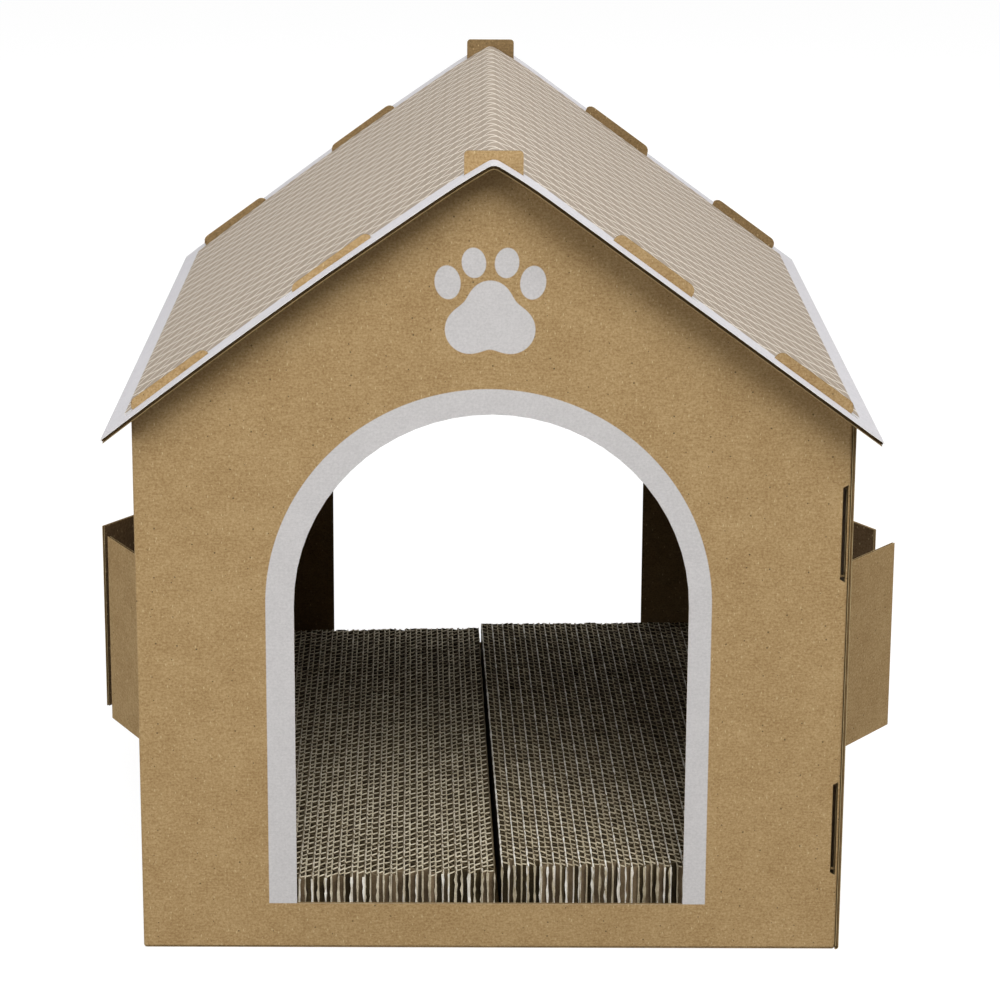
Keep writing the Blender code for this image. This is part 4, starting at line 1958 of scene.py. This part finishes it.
def main() -> None:
    """Builds the studio and the cat house, part by part."""
    logging.basicConfig(level=logging.INFO, format="%(message)s")
    Studio().make()
    # Unbleached kraft liner, machine finished: warm brown and matt, with mottle, specks and faint ridges.
    kraft = {"colour": "#A98C60", "shade": "#97794F", "tint": "#B89C70"}
    plain = KraftLiner("kraft_liner_corrugated", **kraft).build()
    # The same liner under flexographic ink: it lies flat and a little smoother, and the fibres show through.
    gable = KraftLiner("kraft_liner_flexo_printed_gable", ink=GablePrint(), **kraft).build()
    roof = KraftLiner("kraft_liner_flexo_printed_roof", ink=RoofPrint(), flutes=Run.LEVEL, **kraft).build()
    # The liner inside: kraft drawn darker than the outer liner, as painted shade, so that the doorway and the
    # windows read deep. It is darkest on the shutters, with more painted shade between the shutters and the
    # walls.
    inner = KraftLiner("kraft_liner_inside_painted_shade", colour="#836B48", shade="#725B3A", tint="#937A54").build()
    # The shutters' inside liner: a darker copy of it, painted shade.
    shade = {"colour": "#66523A", "shade": "#56442B", "tint": "#756044"}
    shutter_painted_shade = KraftLiner("kraft_liner_shutter_inside_painted_shade", **shade).build()
    medium, cut, roof_cut_painted_highlight, inner_cut = (
        TestLiner(*paper).build()
        for paper in (
            # Recycled fluting, corrugated by rolls: dark, so a cut edge reads as waves between light lines.
            ("fluting_medium_recycled", "#8C7048", "#6E5636"),
            # Die-cut edge of the outer liner: fresh fibres, so a light line along each edge of the walls.
            ("liner_cut_edge", "#C9B58A", "#A58D62"),
            # Die-cut edge of the roof's outer liner, drawn nearly white as a painted highlight: a white line
            # along the roof.
            ("roof_liner_cut_edge_painted_highlight", "#F4F1EC", "#DAD5CC"),
            # Die-cut edge of the roof's inner liner: a brown line below the white one.
            ("inner_liner_cut_edge", "#9A855C", "#78663F"),
        )
    )
    wall_finish = (plain, inner, medium, cut, cut)
    roof_sheet = Roof((roof, inner, medium, inner_cut, roof_cut_painted_highlight))
    body = Body(wall_finish, (gable, inner, medium, cut, cut), wall_finish, roof_sheet)
    pieces = [panel.dress() for panel in body.panels()]
    shutters = Shutters((plain, shutter_painted_shade, medium, cut, cut))
    pieces += [panel.dress() for panel in shutters.panels()]
    pieces += [shutters.crease(name) for name in shutters.names]
    pieces += roof_sheet.dress()
    faces, torn, dull, beige, pale, sawn, ragged, scuffed = (
        TestLiner(*paper).build()
        for paper in (
            # Recycled liner and medium down in the strips, their brown darkened with painted shade for the
            # shade they
            # cast on each other: the pad's dark ground.
            ("scratch_pad_paper_painted_shade", "#55482F", "#30271A"),
            # Fibres torn out by the saw: nearly white flecks at the strips' ends.
            ("scratch_pad_torn_edge", "#FBF8F0", "#DDD4C1"),
            # Dull cut edges: the flutes' tips, each strip's last liner, and the flank of each flute turned
            # from the middle
            # of the house, there as painted shade: only a little lighter than the ground.
            ("scratch_pad_dull_edge_and_painted_shade", "#85775C", "#54493A"),
            # Torn paper: the liner between two flutes, the liners' ends, and the flank of each flute that
            # faces the middle of the house, made beige there as painted light: beige strokes that make the
            # pad's zigzag.
            ("scratch_pad_beige_edge_and_painted_light", "#DED4BC", "#A89B80"),
            # The outer liners' torn edges: pale lines between the strips.
            ("scratch_pad_outer_liner_cut_edge", "#DDD4C2", "#AFA48E"),
            # The sawn front: paper with painted light, for the more light that reaches it.
            ("scratch_pad_sawn_front_painted_light", "#8F7C60", "#6A5943"),
            # The right pad's outer liners' torn edges: whiter and more uneven lines than the left pad's.
            ("scratch_pad_torn_outer_liner", "#FBF8F0", "#CFC6B4"),
            # The right pad's other torn edges, and its flank made beige as painted light: duller than the
            # left pad's.
            ("scratch_pad_scuffed_inner_liner", "#CABEA3", "#94876D"),
        )
    )
    left_rise = (-1.7 * MM, 3.2 * MM, -1.0 * MM, 1.0 * MM)
    right_rise = (3.4 * MM, -0.3 * MM, 0.0, 0.5 * MM)
    pads = (
        ScratchPad(-1, (faces, torn, dull, beige, pale, sawn), 11, left_rise),
        ScratchPad(1, (faces, torn, dull, scuffed, ragged, sawn), 29, right_rise),
    )
    pieces += [pad.dress() for pad in pads]
    for piece in pieces:
        LOG.info("%s: %d faces", piece.name, len(piece.data.polygons))


if __name__ == "__main__":
    main()
